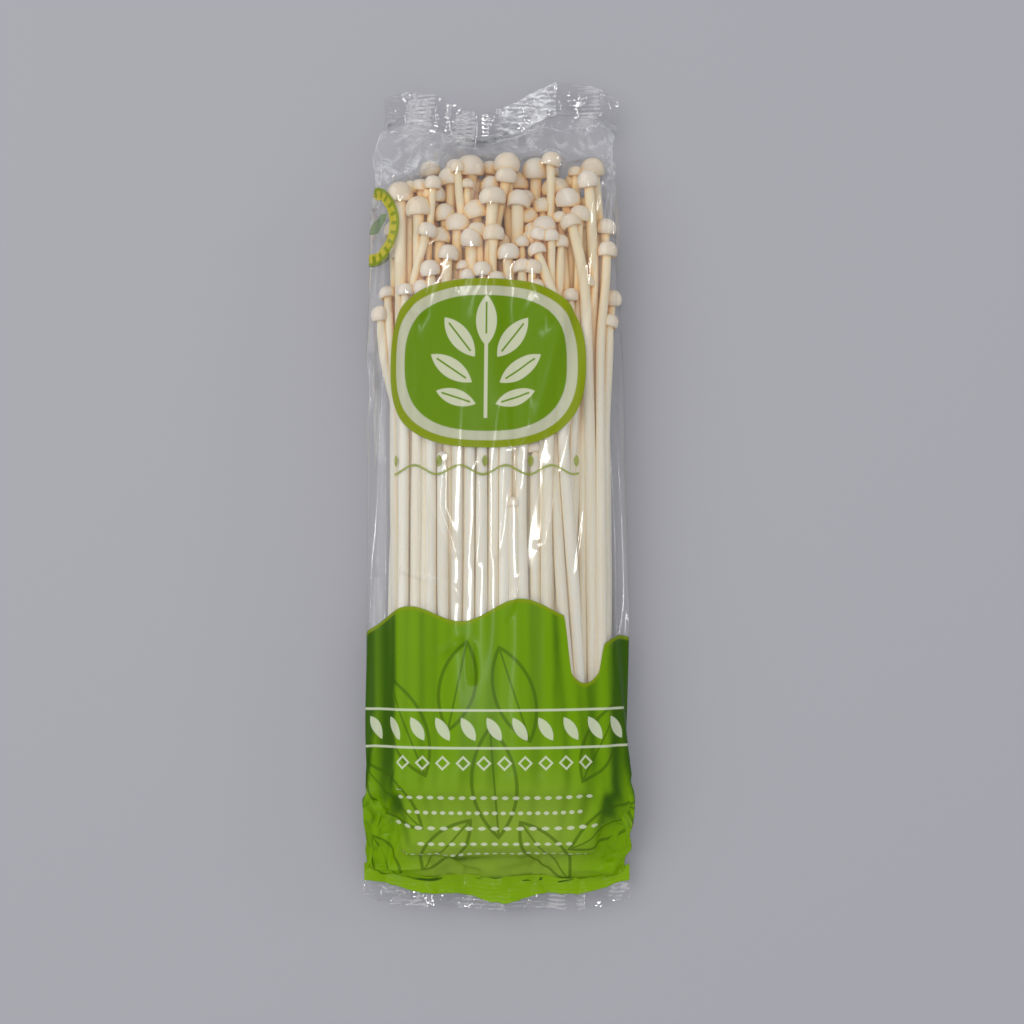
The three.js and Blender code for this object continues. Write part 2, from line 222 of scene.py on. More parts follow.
span = ((JOINT_Y[1:-1] - JOINT_Y[:-2]) / (JOINT_Y[2:] - JOINT_Y[:-2]))[None, :, None]

for step in range(PRESS_PASSES):
    discs = np.einsum("lj,njd->nld", weights, joints)
    gap = discs[:, None] - np.concatenate([front_discs, discs])[None]
    apart = np.sqrt((gap ** 2).sum(axis=-1)) + 1e-9
    short = np.clip(touch - apart, 0, None)
    push = (gap * (short / apart)[..., None]).sum(axis=1) * 0.45
    push += (discs - SECTION_MIDDLE) * (1 / np.maximum(past_edge(discs, room), 1) - 1)[..., None]
    push *= (hidden_radii > 0)[..., None]
    pushed = np.abs(push).sum(axis=-1) > 0
    moves = np.einsum("lj,nld->njd", weights, push)
    joints += moves / np.maximum(np.einsum("lj,nl->nj", weights, pushed), 1)[..., None]
    ease = 0.5 * max(0.04, 1 - step / (PRESS_PASSES * 0.8))
    straight = joints[:, :-2] * (1 - span) + joints[:, 2:] * span
    joints[:, 1:-1] += (straight - joints[:, 1:-1]) * ease
    joints[pinned] = pinned_joints

for m, path in zip(hidden, joints):
    top = JOINT_Y < m["cap_y"] + 0.012
    m["line"] = np.stack([path[top, 0], JOINT_Y[top], path[top, 1]], axis=-1)
print("the largest overlap left is", round(float(short.max() / MM), 2), "mm")

# %% [markdown]
# ## One mushroom, modelled once
#
# The master mushroom is extruded ring by ring from a circle, as by hand. Its stem runs from height 0 at
# the root to 1 at the neck. Above 1, heights and widths are in shares of the cap's radius: first the
# gills under the cap, then the rolled rim, then the dome. Every second edge of the gills is pushed up,
# which folds them.

# %% Model the master
SIDES = 20
STEM_RINGS = 26
CAP_PROFILE = [  # radius and height over the neck, as shares of the cap's radius
    (0.50, 0.17), (0.62, 0.15), (0.72, 0.08), (0.81, 0.04), (0.90, 0.13), (0.97, 0.31), (1.0, 0.53),
    (0.99, 0.74), (0.94, 0.95), (0.855, 1.14), (0.725, 1.31), (0.55, 1.45), (0.34, 1.54), (0.12, 1.575),
]
GILL_RINGS = range(0, 3)
GILL_FOLD = 0.075
STEM_SHARE = 0.46  # the neck's radius, as a share of the cap's
CAP_FULLNESS = 1.07  # a round cap over the CAD's six-sided one
STEM_FULLNESS = 1.03
CAP_TILT = 0.09


def deselect_all():
    bpy.ops.object.select_all(action="DESELECT")


def select_only(*pieces):
    """Select these pieces, and make the last one active."""
    deselect_all()
    for piece in pieces:
        piece.select_set(True)
    bpy.context.view_layer.objects.active = pieces[-1]


deselect_all()
bpy.ops.mesh.primitive_circle_add(vertices=SIDES, radius=1, fill_type="NGON", location=(0, 0, 0))
master = bpy.context.object
master.name = "mushroom_master"
bpy.ops.object.mode_set(mode="EDIT")
bpy.ops.mesh.select_all(action="SELECT")
width, height = 1.0, 0.0
# The stem's rings lie closer together towards the cap.
rings = [(1.0, 1 - (1 - (i + 1) / STEM_RINGS) ** 1.4) for i in range(STEM_RINGS)]
rings += [(r / STEM_SHARE, 1 + h) for r, h in CAP_PROFILE]
for ring_width, ring_height in rings:
    bpy.ops.mesh.extrude_region_move(TRANSFORM_OT_translate={"value": (0, 0, ring_height - height)})
    ratio = ring_width / width
    bpy.ops.transform.resize(value=(ratio, ratio, 1))
    width, height = ring_width, ring_height
bpy.ops.mesh.select_all(action="SELECT")
bpy.ops.mesh.normals_make_consistent(inside=False)
bpy.ops.object.mode_set(mode="OBJECT")
bpy.ops.object.shade_smooth()
master_points = mesh_points(master)
turn = np.arctan2(master_points[:, 1], master_points[:, 0])
for ring in GILL_RINGS:
    at_ring = np.abs(master_points[:, 2] - (1 + CAP_PROFILE[ring][1])) < 1e-5
    inner = np.hypot(master_points[:, 0], master_points[:, 1]) < 0.85 / STEM_SHARE
    odd = np.round(turn / (2 * math.pi / SIDES)).astype(int) % 2 == 1
    master_points[at_ring & inner & odd, 2] += GILL_FOLD
print("master mushroom:", len(master_points), "points")

# %% Grow a mushroom along its line
SMOOTH_REACH = 0.007  # how far a bend of the line is rounded off


def rounded(line, top):
    """The line's x and z every millimetre, with its bends rounded off."""
    heights = np.arange(ROOT_Y - 0.02, top + 0.02, MM)
    rows = []
    for axis in (0, 2):
        track = np.interp(heights, line[:, 1], line[:, axis])
        low_slope = (line[1, axis] - line[0, axis]) / (line[1, 1] - line[0, 1])
        below = line[0, axis] + low_slope * (heights - line[0, 1]) * 0.3
        track = np.where(heights < line[0, 1], below, track)
        reach = np.arange(-3 * SMOOTH_REACH, 3 * SMOOTH_REACH + MM / 2, MM)
        kernel = np.exp(-0.5 * (reach / SMOOTH_REACH) ** 2)
        padded = np.pad(track, len(reach) // 2, mode="edge")
        rows.append(np.convolve(padded, kernel / kernel.sum(), mode="valid"))
    return heights, np.array(rows)


def set_value(mesh, name, values):
    """A number on every point, for the materials."""
    if name not in mesh.attributes:
        mesh.attributes.new(name, "FLOAT", "POINT")
    mesh.attributes[name].data.foreach_set("value", values.astype(np.float32))


def grow(name, mushroom, luck):
    """A mushroom of its own shape along its line, from the master."""
    radius = mushroom["cap"] * CAP_FULLNESS
    stem = mushroom["stem"] * STEM_FULLNESS
    neck_y = mushroom["cap_y"] - NECK_SHARE * radius
    heights, (line_x, line_z) = rounded(mushroom["line"], mushroom["cap_y"] + radius)
    drift_x, drift_z = np.gradient(line_x, MM), np.gradient(line_z, MM)

    share = np.clip(master_points[:, 2], 0, 1)
    y = ROOT_Y + share * (neck_y - ROOT_Y)
    centre = np.stack([np.interp(y, heights, line_x), y, np.interp(y, heights, line_z)], axis=-1)
    slopes = [np.interp(y, heights, drift) for drift in (drift_x, drift_z)]
    along = np.stack([slopes[0], np.ones_like(y), slopes[1]], axis=-1)

    over = master_points[:, 2] > 1 + 1e-6
    tilt = np.array([luck.normal(0, CAP_TILT), 0, luck.normal(0, CAP_TILT)])
    along[over] += tilt
    along /= np.linalg.norm(along, axis=1, keepdims=True)
    across = np.array([1.0, 0, 0]) - along * along[:, :1]
    across /= np.linalg.norm(across, axis=1, keepdims=True)
    upward = np.cross(along, across)

    spin = luck.uniform(0, 2 * math.pi)
    angle = turn + spin
    reach = np.hypot(master_points[:, 0], master_points[:, 1])
    # The stem: wider at its root, waisted under the cap, oval, and a little uneven.
    oval = 1 + luck.uniform(0.0, 0.07) * np.cos(2 * (angle - luck.uniform(0, math.pi)))
    length_share = (y - ROOT_Y) / (0.08 - ROOT_Y)
    uneven = 1 + 0.035 * np.sin(y / 0.011 + luck.uniform(0, 6))
    uneven += 0.02 * np.sin(y / 0.0047 + luck.uniform(0, 6))
    taper = 1.26 - 0.28 * length_share + 0.12 * np.clip(1 - (y - ROOT_Y) / 0.012, 0, 1) ** 2
    neck = STEM_SHARE * radius * luck.uniform(0.92, 1.06)
    near_cap = np.clip(1 - (neck_y - y) / (1.8 * radius), 0, 1) ** 2
    width = (stem * taper * uneven * (1 - near_cap) + neck * near_cap) * oval
    # The cap: lopsided, and flatter or fuller than its neighbours.
    lopsided = 1 + 0.05 * np.cos(angle - luck.uniform(0, 6)) + 0.03 * np.cos(2 * angle - luck.uniform(0, 6))
    lopsided += 0.012 * np.cos(5 * angle - luck.uniform(0, 6))
    width = np.where(over, STEM_SHARE * radius * lopsided, width)
    fullness = luck.uniform(0.88, 1.06)
    rise = np.where(over, (master_points[:, 2] - 1) * radius * fullness, 0)

    side = (reach * width)[:, None]
    points = centre + along * rise[:, None]
    points += side * (np.cos(angle)[:, None] * across + np.sin(angle)[:, None] * upward)
    mesh = master.data.copy()
    mesh.vertices.foreach_set("co", points.ravel())
    set_value(mesh, "cap", np.clip((master_points[:, 2] - 1.02) / 0.1, 0, 1))
    set_value(mesh, "tone", np.full(len(points), luck.uniform(0, 1)))
    mesh.update()
    piece = bpy.data.objects.new(name, mesh)
    bpy.context.collection.objects.link(piece)
    return piece


visual_mushrooms = []
for name, mushroom in zip(names, front_mushrooms):
    piece = grow("grown_" + name, mushroom, np.random.default_rng(100 + len(visual_mushrooms)))
    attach(piece, "root")
    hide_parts(name)
    visual_mushrooms.append(piece)
select_only(*(
    grow(f"hidden_mushroom_{number + 1:02d}", mushroom, np.random.default_rng(400 + number))
    for number, mushroom in enumerate(hidden)
))
bpy.ops.object.join()
behind = bpy.context.object
behind.name = behind.data.name = "mushrooms_behind"
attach(behind, "root")
bpy.data.objects.remove(master)
print(len(visual_mushrooms), "mushrooms in front and", len(hidden), "behind")

# %% [markdown]
# ## The base
#
# The stems of a bunch grow out of one block. They thicken towards it and run into each other, and the
# block is cut flat where it was taken off. Here every stem gets a short column that widens downwards, a
# rounded block fills the middle, and a voxel remesh fuses them all, as clay would.

# %% A column under every stem
COLUMN_SIDES = 10
COLUMN_TOP = 0.0045  # how far the columns reach up the stems
BLOCK_TOP = 0.009  # how far the block stays under the stems' roots
COLUMN_WIDENING = 1.55
BLOCK_ROUNDING = 0.005
CUT_SHARE = 0.42  # how thick the base is at its cut, as a share of its thickness at the stems
base_low, base_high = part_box("root_base")
base_middle, base_half = (base_low + base_high) / 2, (base_high - base_low) / 2



def apply_modifier(piece, kind, **settings):
    """Put a modifier on the active piece and apply it."""
    modifier = piece.modifiers.new(kind.title(), kind)
    for setting, value in settings.items():
        setattr(modifier, setting, value)
    bpy.ops.object.modifier_apply(modifier=modifier.name)


parts = []
for mushroom in front_mushrooms + hidden:
    x, _, z = mushroom["line"][0]
    height = ROOT_Y + COLUMN_TOP - base_low.y
    deselect_all()
    bpy.ops.mesh.primitive_cone_add(
        vertices=COLUMN_SIDES, radius1=mushroom["stem"] * COLUMN_WIDENING, radius2=mushroom["stem"] * 1.06,
        depth=height, end_fill_type="NGON", location=(x, base_low.y + height / 2, z),
        rotation=(-math.pi / 2, 0, 0))
    parts.append(bpy.context.object)
deselect_all()
bpy.ops.mesh.primitive_cube_add(size=1, location=(base_middle.x, 0, base_middle.z))
block = bpy.context.object
block_height = ROOT_Y - BLOCK_TOP - base_low.y
block.scale = (base_half.x * 1.86, block_height, base_half.z * 1.8)
block.location.y = base_low.y + block_height / 2
bpy.ops.object.transform_apply(location=True, rotation=True, scale=True)
apply_modifier(block, "BEVEL", width=BLOCK_ROUNDING, segments=5)
select_only(*parts, block)
bpy.ops.object.transform_apply(location=True, rotation=True, scale=True)
bpy.ops.object.join()
base = bpy.context.object
base.name = "fused_base"
print(len(parts), "columns")

# %% Fuse, smooth and cut the base
BASE_VOXEL = 0.00045
CUT_DEPTH = 0.0004  # how far above its lowest point the base is cut
apply_modifier(base, "REMESH", mode="VOXEL", voxel_size=BASE_VOXEL, use_smooth_shade=True)
apply_modifier(base, "SMOOTH", factor=0.5, iterations=3)
bpy.ops.object.mode_set(mode="EDIT")
bpy.ops.mesh.select_all(action="SELECT")
bpy.ops.mesh.bisect(
    plane_co=(0, base_low.y + CUT_DEPTH, 0), plane_no=(0, 1, 0), use_fill=True, clear_inner=True)
bpy.ops.object.mode_set(mode="OBJECT")
bpy.ops.object.shade_smooth_by_angle(angle=math.radians(50))


def set_points(piece, points):
    piece.data.vertices.foreach_set("co", points.ravel())
    piece.data.update()


def base_taper(y):
    """How thick the base is at a height, as a share of its thickness at the stems."""
    up = np.clip((y - base_low.y) / (base_high.y - base_low.y), 0, 1)
    return CUT_SHARE + (1 - CUT_SHARE) * up ** 1.7


BASE_SLIM = 0.95  # the film has to clear it
points = mesh_points(base)
narrowing = BASE_SLIM * (1 - (1 - base_taper(points[:, 1])) * 0.2)
points[:, 0] = base_middle.x + (points[:, 0] - base_middle.x) * narrowing
points[:, 2] = base_middle.z + (points[:, 2] - base_middle.z) * base_taper(points[:, 1]) * BASE_SLIM
points[:, 0] = np.clip(points[:, 0], base_low.x, base_high.x)
points[:, 2] = np.clip(points[:, 2], base_low.z, base_high.z)
set_points(base, points)
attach(base, "root")
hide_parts("root_base")
print("base", len(base.data.polygons), "faces")

# %% [markdown]
# ## The film, from a flat sheet
#
# The real film is one flat sheet, rolled into a tube with its two long edges welded at the back, and
# welded flat at both ends. The bunch makes it stand up. The same happens here: a grid is folded into a
# flat pouch round a flat copy of the bunch, the copy swells to its real thickness, and Blender's Cloth
# finds where the film pulls tight, folds at the sides and creases near its welded ends. The simulation
# runs ten times life size, which suits Cloth's smallest distances.

# %% The welded ends
# The welded ends as they lie: x and y of the cut edge, and its height, in millimetres.
TOP_EDGE = [
    (-29.5, 100.5, 6.5), (-24, 103.3, 5), (-17, 101.2, 7.6), (-11, 98.8, 6.6), (-5.5, 95.6, 9),
    (-1, 97.6, 6.2), (7, 101.6, 4.6), (14, 104.6, 7.4), (16, 105, 5.2), (21.5, 104.8, 4.6),
    (26, 103.4, 6.4), (30.5, 100.6, 4.8),
]
BOTTOM_EDGE = [
    (-34.3, -101.2, 5), (-27, -103.6, 3.6), (-18, -104.4, 5), (-9, -104.2, 3.4), (0, -105, 4.8),
    (9, -104.4, 3.2), (18, -104.8, 4.6), (27, -104, 3.4), (33.0, -101.6, 4.6),
]


def columns(values):
    """Three rows of values, made the x, y and z of points."""
    return np.stack(list(values), axis=-1)


def edge_points(edge, shares):
    """Points along a welded end at these shares of its width, with its corners rounded."""
    edge = np.array(edge) * MM
    steps = np.concatenate([[0], np.cumsum(np.hypot(*np.diff(edge[:, ::2], axis=0).T))])
    smooth = np.linspace(0, 1, 200)
    curve = columns(np.interp(smooth, steps / steps[-1], axis) for axis in edge.T)
    kernel = np.exp(-0.5 * (np.arange(-12, 13) / 5) ** 2)
    kernel /= kernel.sum()
    padded = np.pad(curve, [(12, 12), (0, 0)], mode="reflect", reflect_type="odd")
    curve = columns(np.convolve(axis, kernel, mode="valid") for axis in padded.T)
    return columns(np.interp(shares, smooth, axis) for axis in curve.T)


# %% The bunch's upper and lower surface
SKIRT_INSET = 0.0012  # how far inside the pack's outline the film's side folds are held
FOLD_Z = 0.0095  # the height of the side folds
SKIRT_HALF = 0.00012
ACROSS, ALONG = 79, 121
FOLD_BLEND = 0.016  # how far from a welded end the side folds take its height
CORE_END = 0.002
front_x, front_y, _ = mesh_points(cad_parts["film_front"]).T
outline_y = np.unique(front_y.round(5))
rows_x = [front_x[np.abs(front_y - y) < 1e-5] for y in outline_y]
outline = np.array([[row_x.min(), row_x.max()] for row_x in rows_x])
core_y = np.linspace(outline_y[0] + CORE_END, outline_y[-1] - CORE_END, ALONG)
core_left = np.interp(core_y, outline_y, outline[:, 0]) + SKIRT_INSET
core_right = np.interp(core_y, outline_y, outline[:, 1]) - SKIRT_INSET
core_x = core_left[:, None] + np.linspace(0, 1, ACROSS) * (core_right - core_left)[:, None]


def tree_of(pieces):
    """All faces of some pieces, for casting rays at them."""
    corners, faces, count = [], [], 0
    for piece in pieces:
        corners.extend(mesh_points(piece).tolist())
        faces.extend([[count + v for v in face.vertices] for face in piece.data.polygons])
        count = len(corners)
    return BVHTree.FromPolygons(corners, faces)


bunch_tree = tree_of(visual_mushrooms + [behind, base])
ABOVE = 0.05


def surfaces(x, y):
    """The highest and lowest point of the bunch over each place of a grid with one y a row."""
    shares = (x - x[:, :1]) / (x[:, -1:] - x[:, :1])
    fold = np.full(x.shape, FOLD_Z)
    for edge, from_seal in ((BOTTOM_EDGE, y - core_y[0]), (TOP_EDGE, core_y[-1] - y)):
        blend = np.clip(1 - from_seal / FOLD_BLEND, 0, 1)[:, None]
        blend = blend * blend * (3 - 2 * blend)
        fold = fold * (1 - blend) + edge_points(edge, shares.ravel())[:, 2].reshape(x.shape) * blend
    tops, bottoms = fold + SKIRT_HALF, fold - SKIRT_HALF
    for place in np.ndindex(x.shape):
        spot = (x[place], y[place[0]])
        hit = bunch_tree.ray_cast(Vector((*spot, ABOVE)), Vector((0, 0, -1)))[0]
        if hit:
            tops[place] = max(tops[place], hit.z)
            from_below = bunch_tree.ray_cast(Vector((*spot, -ABOVE)), Vector((0, 0, 1)))[0]
            bottoms[place] = min(bottoms[place], from_below.z)
    return tops, bottoms


def blur(field, reach):
    steps = np.arange(-3, 4)
    kernel = np.exp(-0.5 * (steps / reach) ** 2)
    kernel /= kernel.sum()
    for axis in (0, 1):
        padded = np.pad(field, [(3, 3) if a == axis else (0, 0) for a in (0, 1)], mode="edge")
        shifted = (np.take(padded, range(i, i + field.shape[axis]), axis) for i in range(len(kernel)))
        field = sum(k * part for k, part in zip(kernel, shifted))
    return field


tops, bottoms = surfaces(core_x, core_y)
print("bunch surface from", round(float(bottoms.min() / MM), 2), "to", round(float(tops.max() / MM), 2), "mm")

# %% A swelling copy of the bunch for the film to rest on
SIM_SCALE = 10
SWELL_FRAMES = 18
SETTLE_FRAMES = 13


def grid_faces(rows, columns, start=0, flip=False):
    faces = []
    for r in range(rows - 1):
        for c in range(columns - 1):
            here = start + r * columns + c
            quad = (here, here + 1, here + columns + 1, here + columns)
            faces.append(quad[::-1] if flip else quad)
    return faces


plane = np.dstack([core_x, np.repeat(core_y[:, None], ACROSS, axis=1)])
upper = np.dstack([plane, blur(tops, 0.8)]).reshape(-1, 3)
under = np.dstack([plane, blur(bottoms, 0.8)]).reshape(-1, 3)
core_mesh = bpy.data.meshes.new("core")
core_faces = grid_faces(ALONG, ACROSS) + grid_faces(ALONG, ACROSS, ALONG * ACROSS, flip=True)
core_points = (np.concatenate([upper, under]) - (0, 0, FOLD_Z)) * SIM_SCALE
core_mesh.from_pydata(core_points.tolist(), [], core_faces)
core = bpy.data.objects.new("core", core_mesh)
core.location = (0, 0, FOLD_Z * SIM_SCALE)
bpy.context.collection.objects.link(core)
core.scale = (1, 1, 0.02)
core.keyframe_insert("scale", frame=1)
core.scale = (1, 1, 1)
core.keyframe_insert("scale", frame=SWELL_FRAMES)
core.modifiers.new("Collision", "COLLISION")
core.collision.thickness_outer = 0.004
core.collision.thickness_inner = 0.02
core.collision.cloth_friction = 3

# %% Fold the sheet into a flat pouch
AROUND = 144
ROWS = 139
FLAT_HALF = 0.0368  # half the pouch's flat width
FLAT_LENGTH = 0.2215
SEAL_LENGTH = 0.0075
FRAMES = SWELL_FRAMES + SETTLE_FRAMES

deselect_all()
bpy.ops.mesh.primitive_grid_add(x_subdivisions=AROUND, y_subdivisions=ROWS - 1, size=1, location=(0, 0, 0))
pouch = bpy.context.object
pouch.name = "film_pouch"
pouch.data.uv_layers[0].name = "FilmSheet"
sheet = mesh_points(pouch)
# Across the sheet from its edge at the back: the left fold at a quarter, the front's middle at a half.
from_left = np.abs((sheet[:, 0] + 0.75) % 1 - 0.5) * 2
from_left = np.clip(from_left, 0, 1)  # 0 at the left fold, 1 at the right one
front = np.abs(sheet[:, 0]) < 0.25 - 1e-6
at_fold = np.abs(np.abs(sheet[:, 0]) - 0.25) < 1e-6
side = np.where(at_fold, 0, np.where(front, 1.0, -1.0))
row = np.round((sheet[:, 1] + 0.5) * (ROWS - 1)).astype(int)
from_end = np.minimum(row, ROWS - 1 - row)
row_step = FLAT_LENGTH / (ROWS - 1)
seal_rows = round(SEAL_LENGTH / row_step)
print("folds at", sheet[from_left.argmin(), 0], "and", sheet[from_left.argmax(), 0], "across the sheet")
flat = np.stack([
    (from_left * 2 - 1) * FLAT_HALF,
    sheet[:, 1] * FLAT_LENGTH,
    FOLD_Z + side * (0.0001 + 0.0006 * np.clip(from_end - seal_rows, 0, 3) / 3),
], axis=-1)
set_points(pouch, flat * SIM_SCALE)
bpy.ops.object.mode_set(mode="EDIT")
bpy.ops.mesh.select_all(action="SELECT")
bpy.ops.mesh.remove_doubles(threshold=0.0001)
bpy.ops.mesh.normals_make_consistent(inside=False)
bpy.ops.object.mode_set(mode="OBJECT")
flat = mesh_points(pouch) / SIM_SCALE
row = np.round((flat[:, 1] / FLAT_LENGTH + 0.5) * (ROWS - 1)).astype(int)
from_end = np.minimum(row, ROWS - 1 - row)
share = flat[:, 0] / FLAT_HALF / 2 + 0.5
side = np.sign((flat[:, 2] - FOLD_Z).round(7))
target = flat.copy()
low_end, high_end = row <= seal_rows, row >= ROWS - 1 - seal_rows
for edge, rows_in, inward in ((BOTTOM_EDGE, low_end, 1), (TOP_EDGE, high_end, -1)):
    line = edge_points(edge, share[rows_in])
    line[:, 1] += from_end[rows_in] * row_step * inward * 0.97
    line[:, 2] += side[rows_in] * 0.0001
    target[rows_in] = line
print("pouch of", len(flat), "points")

# %% Swell the bunch inside the pouch
pins = pouch.vertex_groups.new(name="pins")
pins.add(np.flatnonzero(from_end <= seal_rows).tolist(), 1.0, "REPLACE")
pouch.shape_key_add(name="Basis")
key = pouch.shape_key_add(name="ends")
key.data.foreach_set("co", (target * SIM_SCALE).ravel())
key.value = 0
key.keyframe_insert("value", frame=1)
key.value = 1
key.keyframe_insert("value", frame=SWELL_FRAMES)
cloth = pouch.modifiers.new("Cloth", "CLOTH")
film_settings = {
    "quality": 5, "mass": 0.15,
    "tension_stiffness": 60, "compression_stiffness": 60, "shear_stiffness": 30, "bending_stiffness": 0.15,
    "tension_damping": 8, "compression_damping": 8, "shear_damping": 8, "air_damping": 2,
    "vertex_group_mass": "pins", "pin_stiffness": 5,
    "use_pressure": True, "uniform_pressure_force": 0.5,
}
for setting, value in film_settings.items():
    setattr(cloth.settings, setting, value)
cloth.settings.effector_weights.gravity = 0
cloth.collision_settings.use_collision = True
cloth.collision_settings.distance_min = 0.002
cloth.collision_settings.collision_quality = 2
cloth.collision_settings.use_self_collision = False
cloth.point_cache.frame_start = 1
cloth.point_cache.frame_end = FRAMES
bpy.context.scene.frame_start = 1
bpy.context.scene.frame_end = FRAMES
for frame_number in range(1, FRAMES + 1):
    bpy.context.scene.frame_set(frame_number)
print("film simulated in", FRAMES, "frames")

# %% Take the film's shape from the simulation
select_only(pouch)
bpy.ops.object.convert(target="MESH")
set_points(pouch, mesh_points(pouch) / SIM_SCALE)
bpy.data.objects.remove(core)
bpy.context.scene.frame_set(1)
print("film", mesh_points(pouch).min(axis=0) / MM, mesh_points(pouch).max(axis=0) / MM)

# %% Open the welded ends for their own strips, close the pouch there and smooth it
LAYER_GAP = 0.0003
bpy.ops.object.mode_set(mode="EDIT")
bpy.ops.mesh.select_all(action="DESELECT")
bpy.ops.object.mode_set(mode="OBJECT")
pouch.data.vertices.foreach_set("select", from_end < seal_rows - 1)
bpy.ops.object.mode_set(mode="EDIT")
bpy.ops.mesh.delete(type="VERT")
bpy.ops.object.mode_set(mode="OBJECT")
inner = from_end[from_end >= seal_rows - 1]
seam_points = mesh_points(pouch)[inner == seal_rows - 1]
pouch.data.vertices.foreach_set("select", inner == seal_rows - 1)
bpy.ops.object.mode_set(mode="EDIT")
bpy.ops.mesh.remove_doubles(threshold=LAYER_GAP)
bpy.ops.object.mode_set(mode="OBJECT")
apply_modifier(pouch, "SUBSURF", levels=1, render_levels=1)
bpy.ops.object.shade_smooth()
print("film pouch", len(pouch.data.polygons), "faces")

# %% Lift the film off the mushrooms where the coarse simulation let it sink in
FILM_CLEARANCE = 0.00018
BASE_LIFT = 0.0006
LIFT_PASSES = 20
FINE = 2
fine_y = np.linspace(core_y[0], core_y[-1], ALONG * FINE)
fine_left, fine_right = np.interp(fine_y, core_y, core_x[:, 0]), np.interp(fine_y, core_y, core_x[:, -1])
fine_share = np.linspace(0, 1, ACROSS * FINE)
fine_x = fine_left[:, None] + fine_share * (fine_right - fine_left)[:, None]
fine_tops, fine_bottoms = surfaces(fine_x, fine_y)


def widened(field, pick):
    """The highest or lowest of every value and its eight neighbours, so that no edge is missed."""
    return pick(np.lib.stride_tricks.sliding_window_view(np.pad(field, 1, mode="edge"), (3, 3)), axis=(2, 3))


fine_tops, fine_bottoms = widened(fine_tops, np.max), widened(fine_bottoms, np.min)


def read_field(field, x, y):
    """The field's value at places, by their nearest four grid points."""
    row_at = np.clip(np.interp(y, fine_y, np.arange(len(fine_y))), 0, len(fine_y) - 1.001)
    left, right = np.interp(y, fine_y, fine_left), np.interp(y, fine_y, fine_right)
    share_at = (x - left) / (right - left)
    column_at = np.clip(share_at * (len(fine_share) - 1), 0, len(fine_share) - 1.001)
    r, c = row_at.astype(int), column_at.astype(int)
    v, u = row_at - r, column_at - c
    low = field[r, c] * (1 - u) + field[r, c + 1] * u
    high = field[r + 1, c] * (1 - u) + field[r + 1, c + 1] * u
    return low * (1 - v) + high * v


def mean_of_neighbours(values, edges, counts):
    total = np.zeros_like(values)
    np.add.at(total, edges[:, 0], values[edges[:, 1]])
    np.add.at(total, edges[:, 1], values[edges[:, 0]])
    return total / counts


points = mesh_points(pouch)
edges = numbers(pouch.data.edges, "vertices", 2, np.int64)
counts = np.bincount(edges.ravel(), minlength=len(points))
on_bunch = (points[:, 1] > fine_y[0]) & (points[:, 1] < fine_y[-1])
on_bunch &= (points[:, 0] > np.interp(points[:, 1], fine_y, fine_left))
on_bunch &= (points[:, 0] < np.interp(points[:, 1], fine_y, fine_right))
over = on_bunch & (points[:, 2] > FOLD_Z)
under = on_bunch & (points[:, 2] <= FOLD_Z)
sunk_front = read_field(fine_tops, points[:, 0], points[:, 1]) + FILM_CLEARANCE - points[:, 2]
sunk_back = points[:, 2] - read_field(fine_bottoms, points[:, 0], points[:, 1]) + FILM_CLEARANCE
need = np.where(over, np.clip(sunk_front, 0, None), 0) - np.where(under, np.clip(sunk_back, 0, None), 0)
at_base = points[:, 1] < ROOT_Y  # there the base gives way instead
need = np.where(at_base, np.clip(need, -BASE_LIFT, BASE_LIFT), need)
lift = need.copy()
for step in range(LIFT_PASSES):
    spread_lift = mean_of_neighbours(lift, edges, counts)
    lift = np.where(need > 0, np.maximum(need, spread_lift), spread_lift)
    lift = np.where(need < 0, np.minimum(need, spread_lift), lift)
points[:, 2] = np.maximum(points[:, 2] + lift, 0.0001)
set_points(pouch, points)
print("lifted the film by up to", round(float(np.abs(need).max() / MM), 2), "mm")

# %% Press single creases into the front
# Each has a height and a width, and then the places that it runs through, all in millimetres.
CREASES = [
    (0.42, 0.7, [(-32.2, -19.9), (-25.2, -18.9), (-10.7, -24.5), (-8.3, -28.6)]),
    (0.45, 0.7, [(6.6, -19.4), (1.3, -32.2)]),
    (0.40, 0.7, [(1.3, 14.1), (3.7, 10.0), (7.4, 14.4)]),
    (0.45, 0.8, [(-14.4, 6.0), (-14.8, -4.5), (-10.7, -15.3), (-8.0, -15.0)]),
    (0.40, 0.8, [(-5.2, 6.0), (-4.6, -6.0), (-6.0, -19.0)]),
    (0.45, 0.8, [(1.0, 9.0), (0.2, -6.0), (-0.8, -17.0)]),
    (0.38, 0.7, [(14.2, 4.0), (13.2, -3.0), (11.2, -13.4), (8.4, -13.6)]),
    (0.42, 0.8, [(22.0, 2.0), (21.0, -8.0), (18.7, -24.0)]),
    (0.45, 0.7, [(26.6, -15.0), (28.4, -8.8), (29.8, -8.2)]),
    (0.55, 0.9, [(-28.5, -66.0), (-30.2, -84.6), (-23.5, -77.5)]),
    (0.60, 1.0, [(23.6, -66.0), (26.6, -79.0), (32.8, -86.0)]),
    (0.50, 0.9, [(-17.0, -94.0), (-21.5, -86.0)]),
    (0.50, 0.9, [(-4.0, -95.0), (-2.5, -89.5)]),
    (0.50, 0.9, [(12.0, -94.5), (15.5, -88.0)]),
    (0.38, 0.7, [(0.8, 86.0), (2.8, 84.8), (4.0, 82.6)]),
    (0.38, 0.7, [(14.2, 79.0), (17.2, 75.5), (18.4, 72.0)]),
    (0.45, 0.9, [(-15.0, -40.5), (-9.0, -36.8)]),
    (0.45, 0.9, [(-7.0, -37.0), (-6.4, -47.5)]),
]


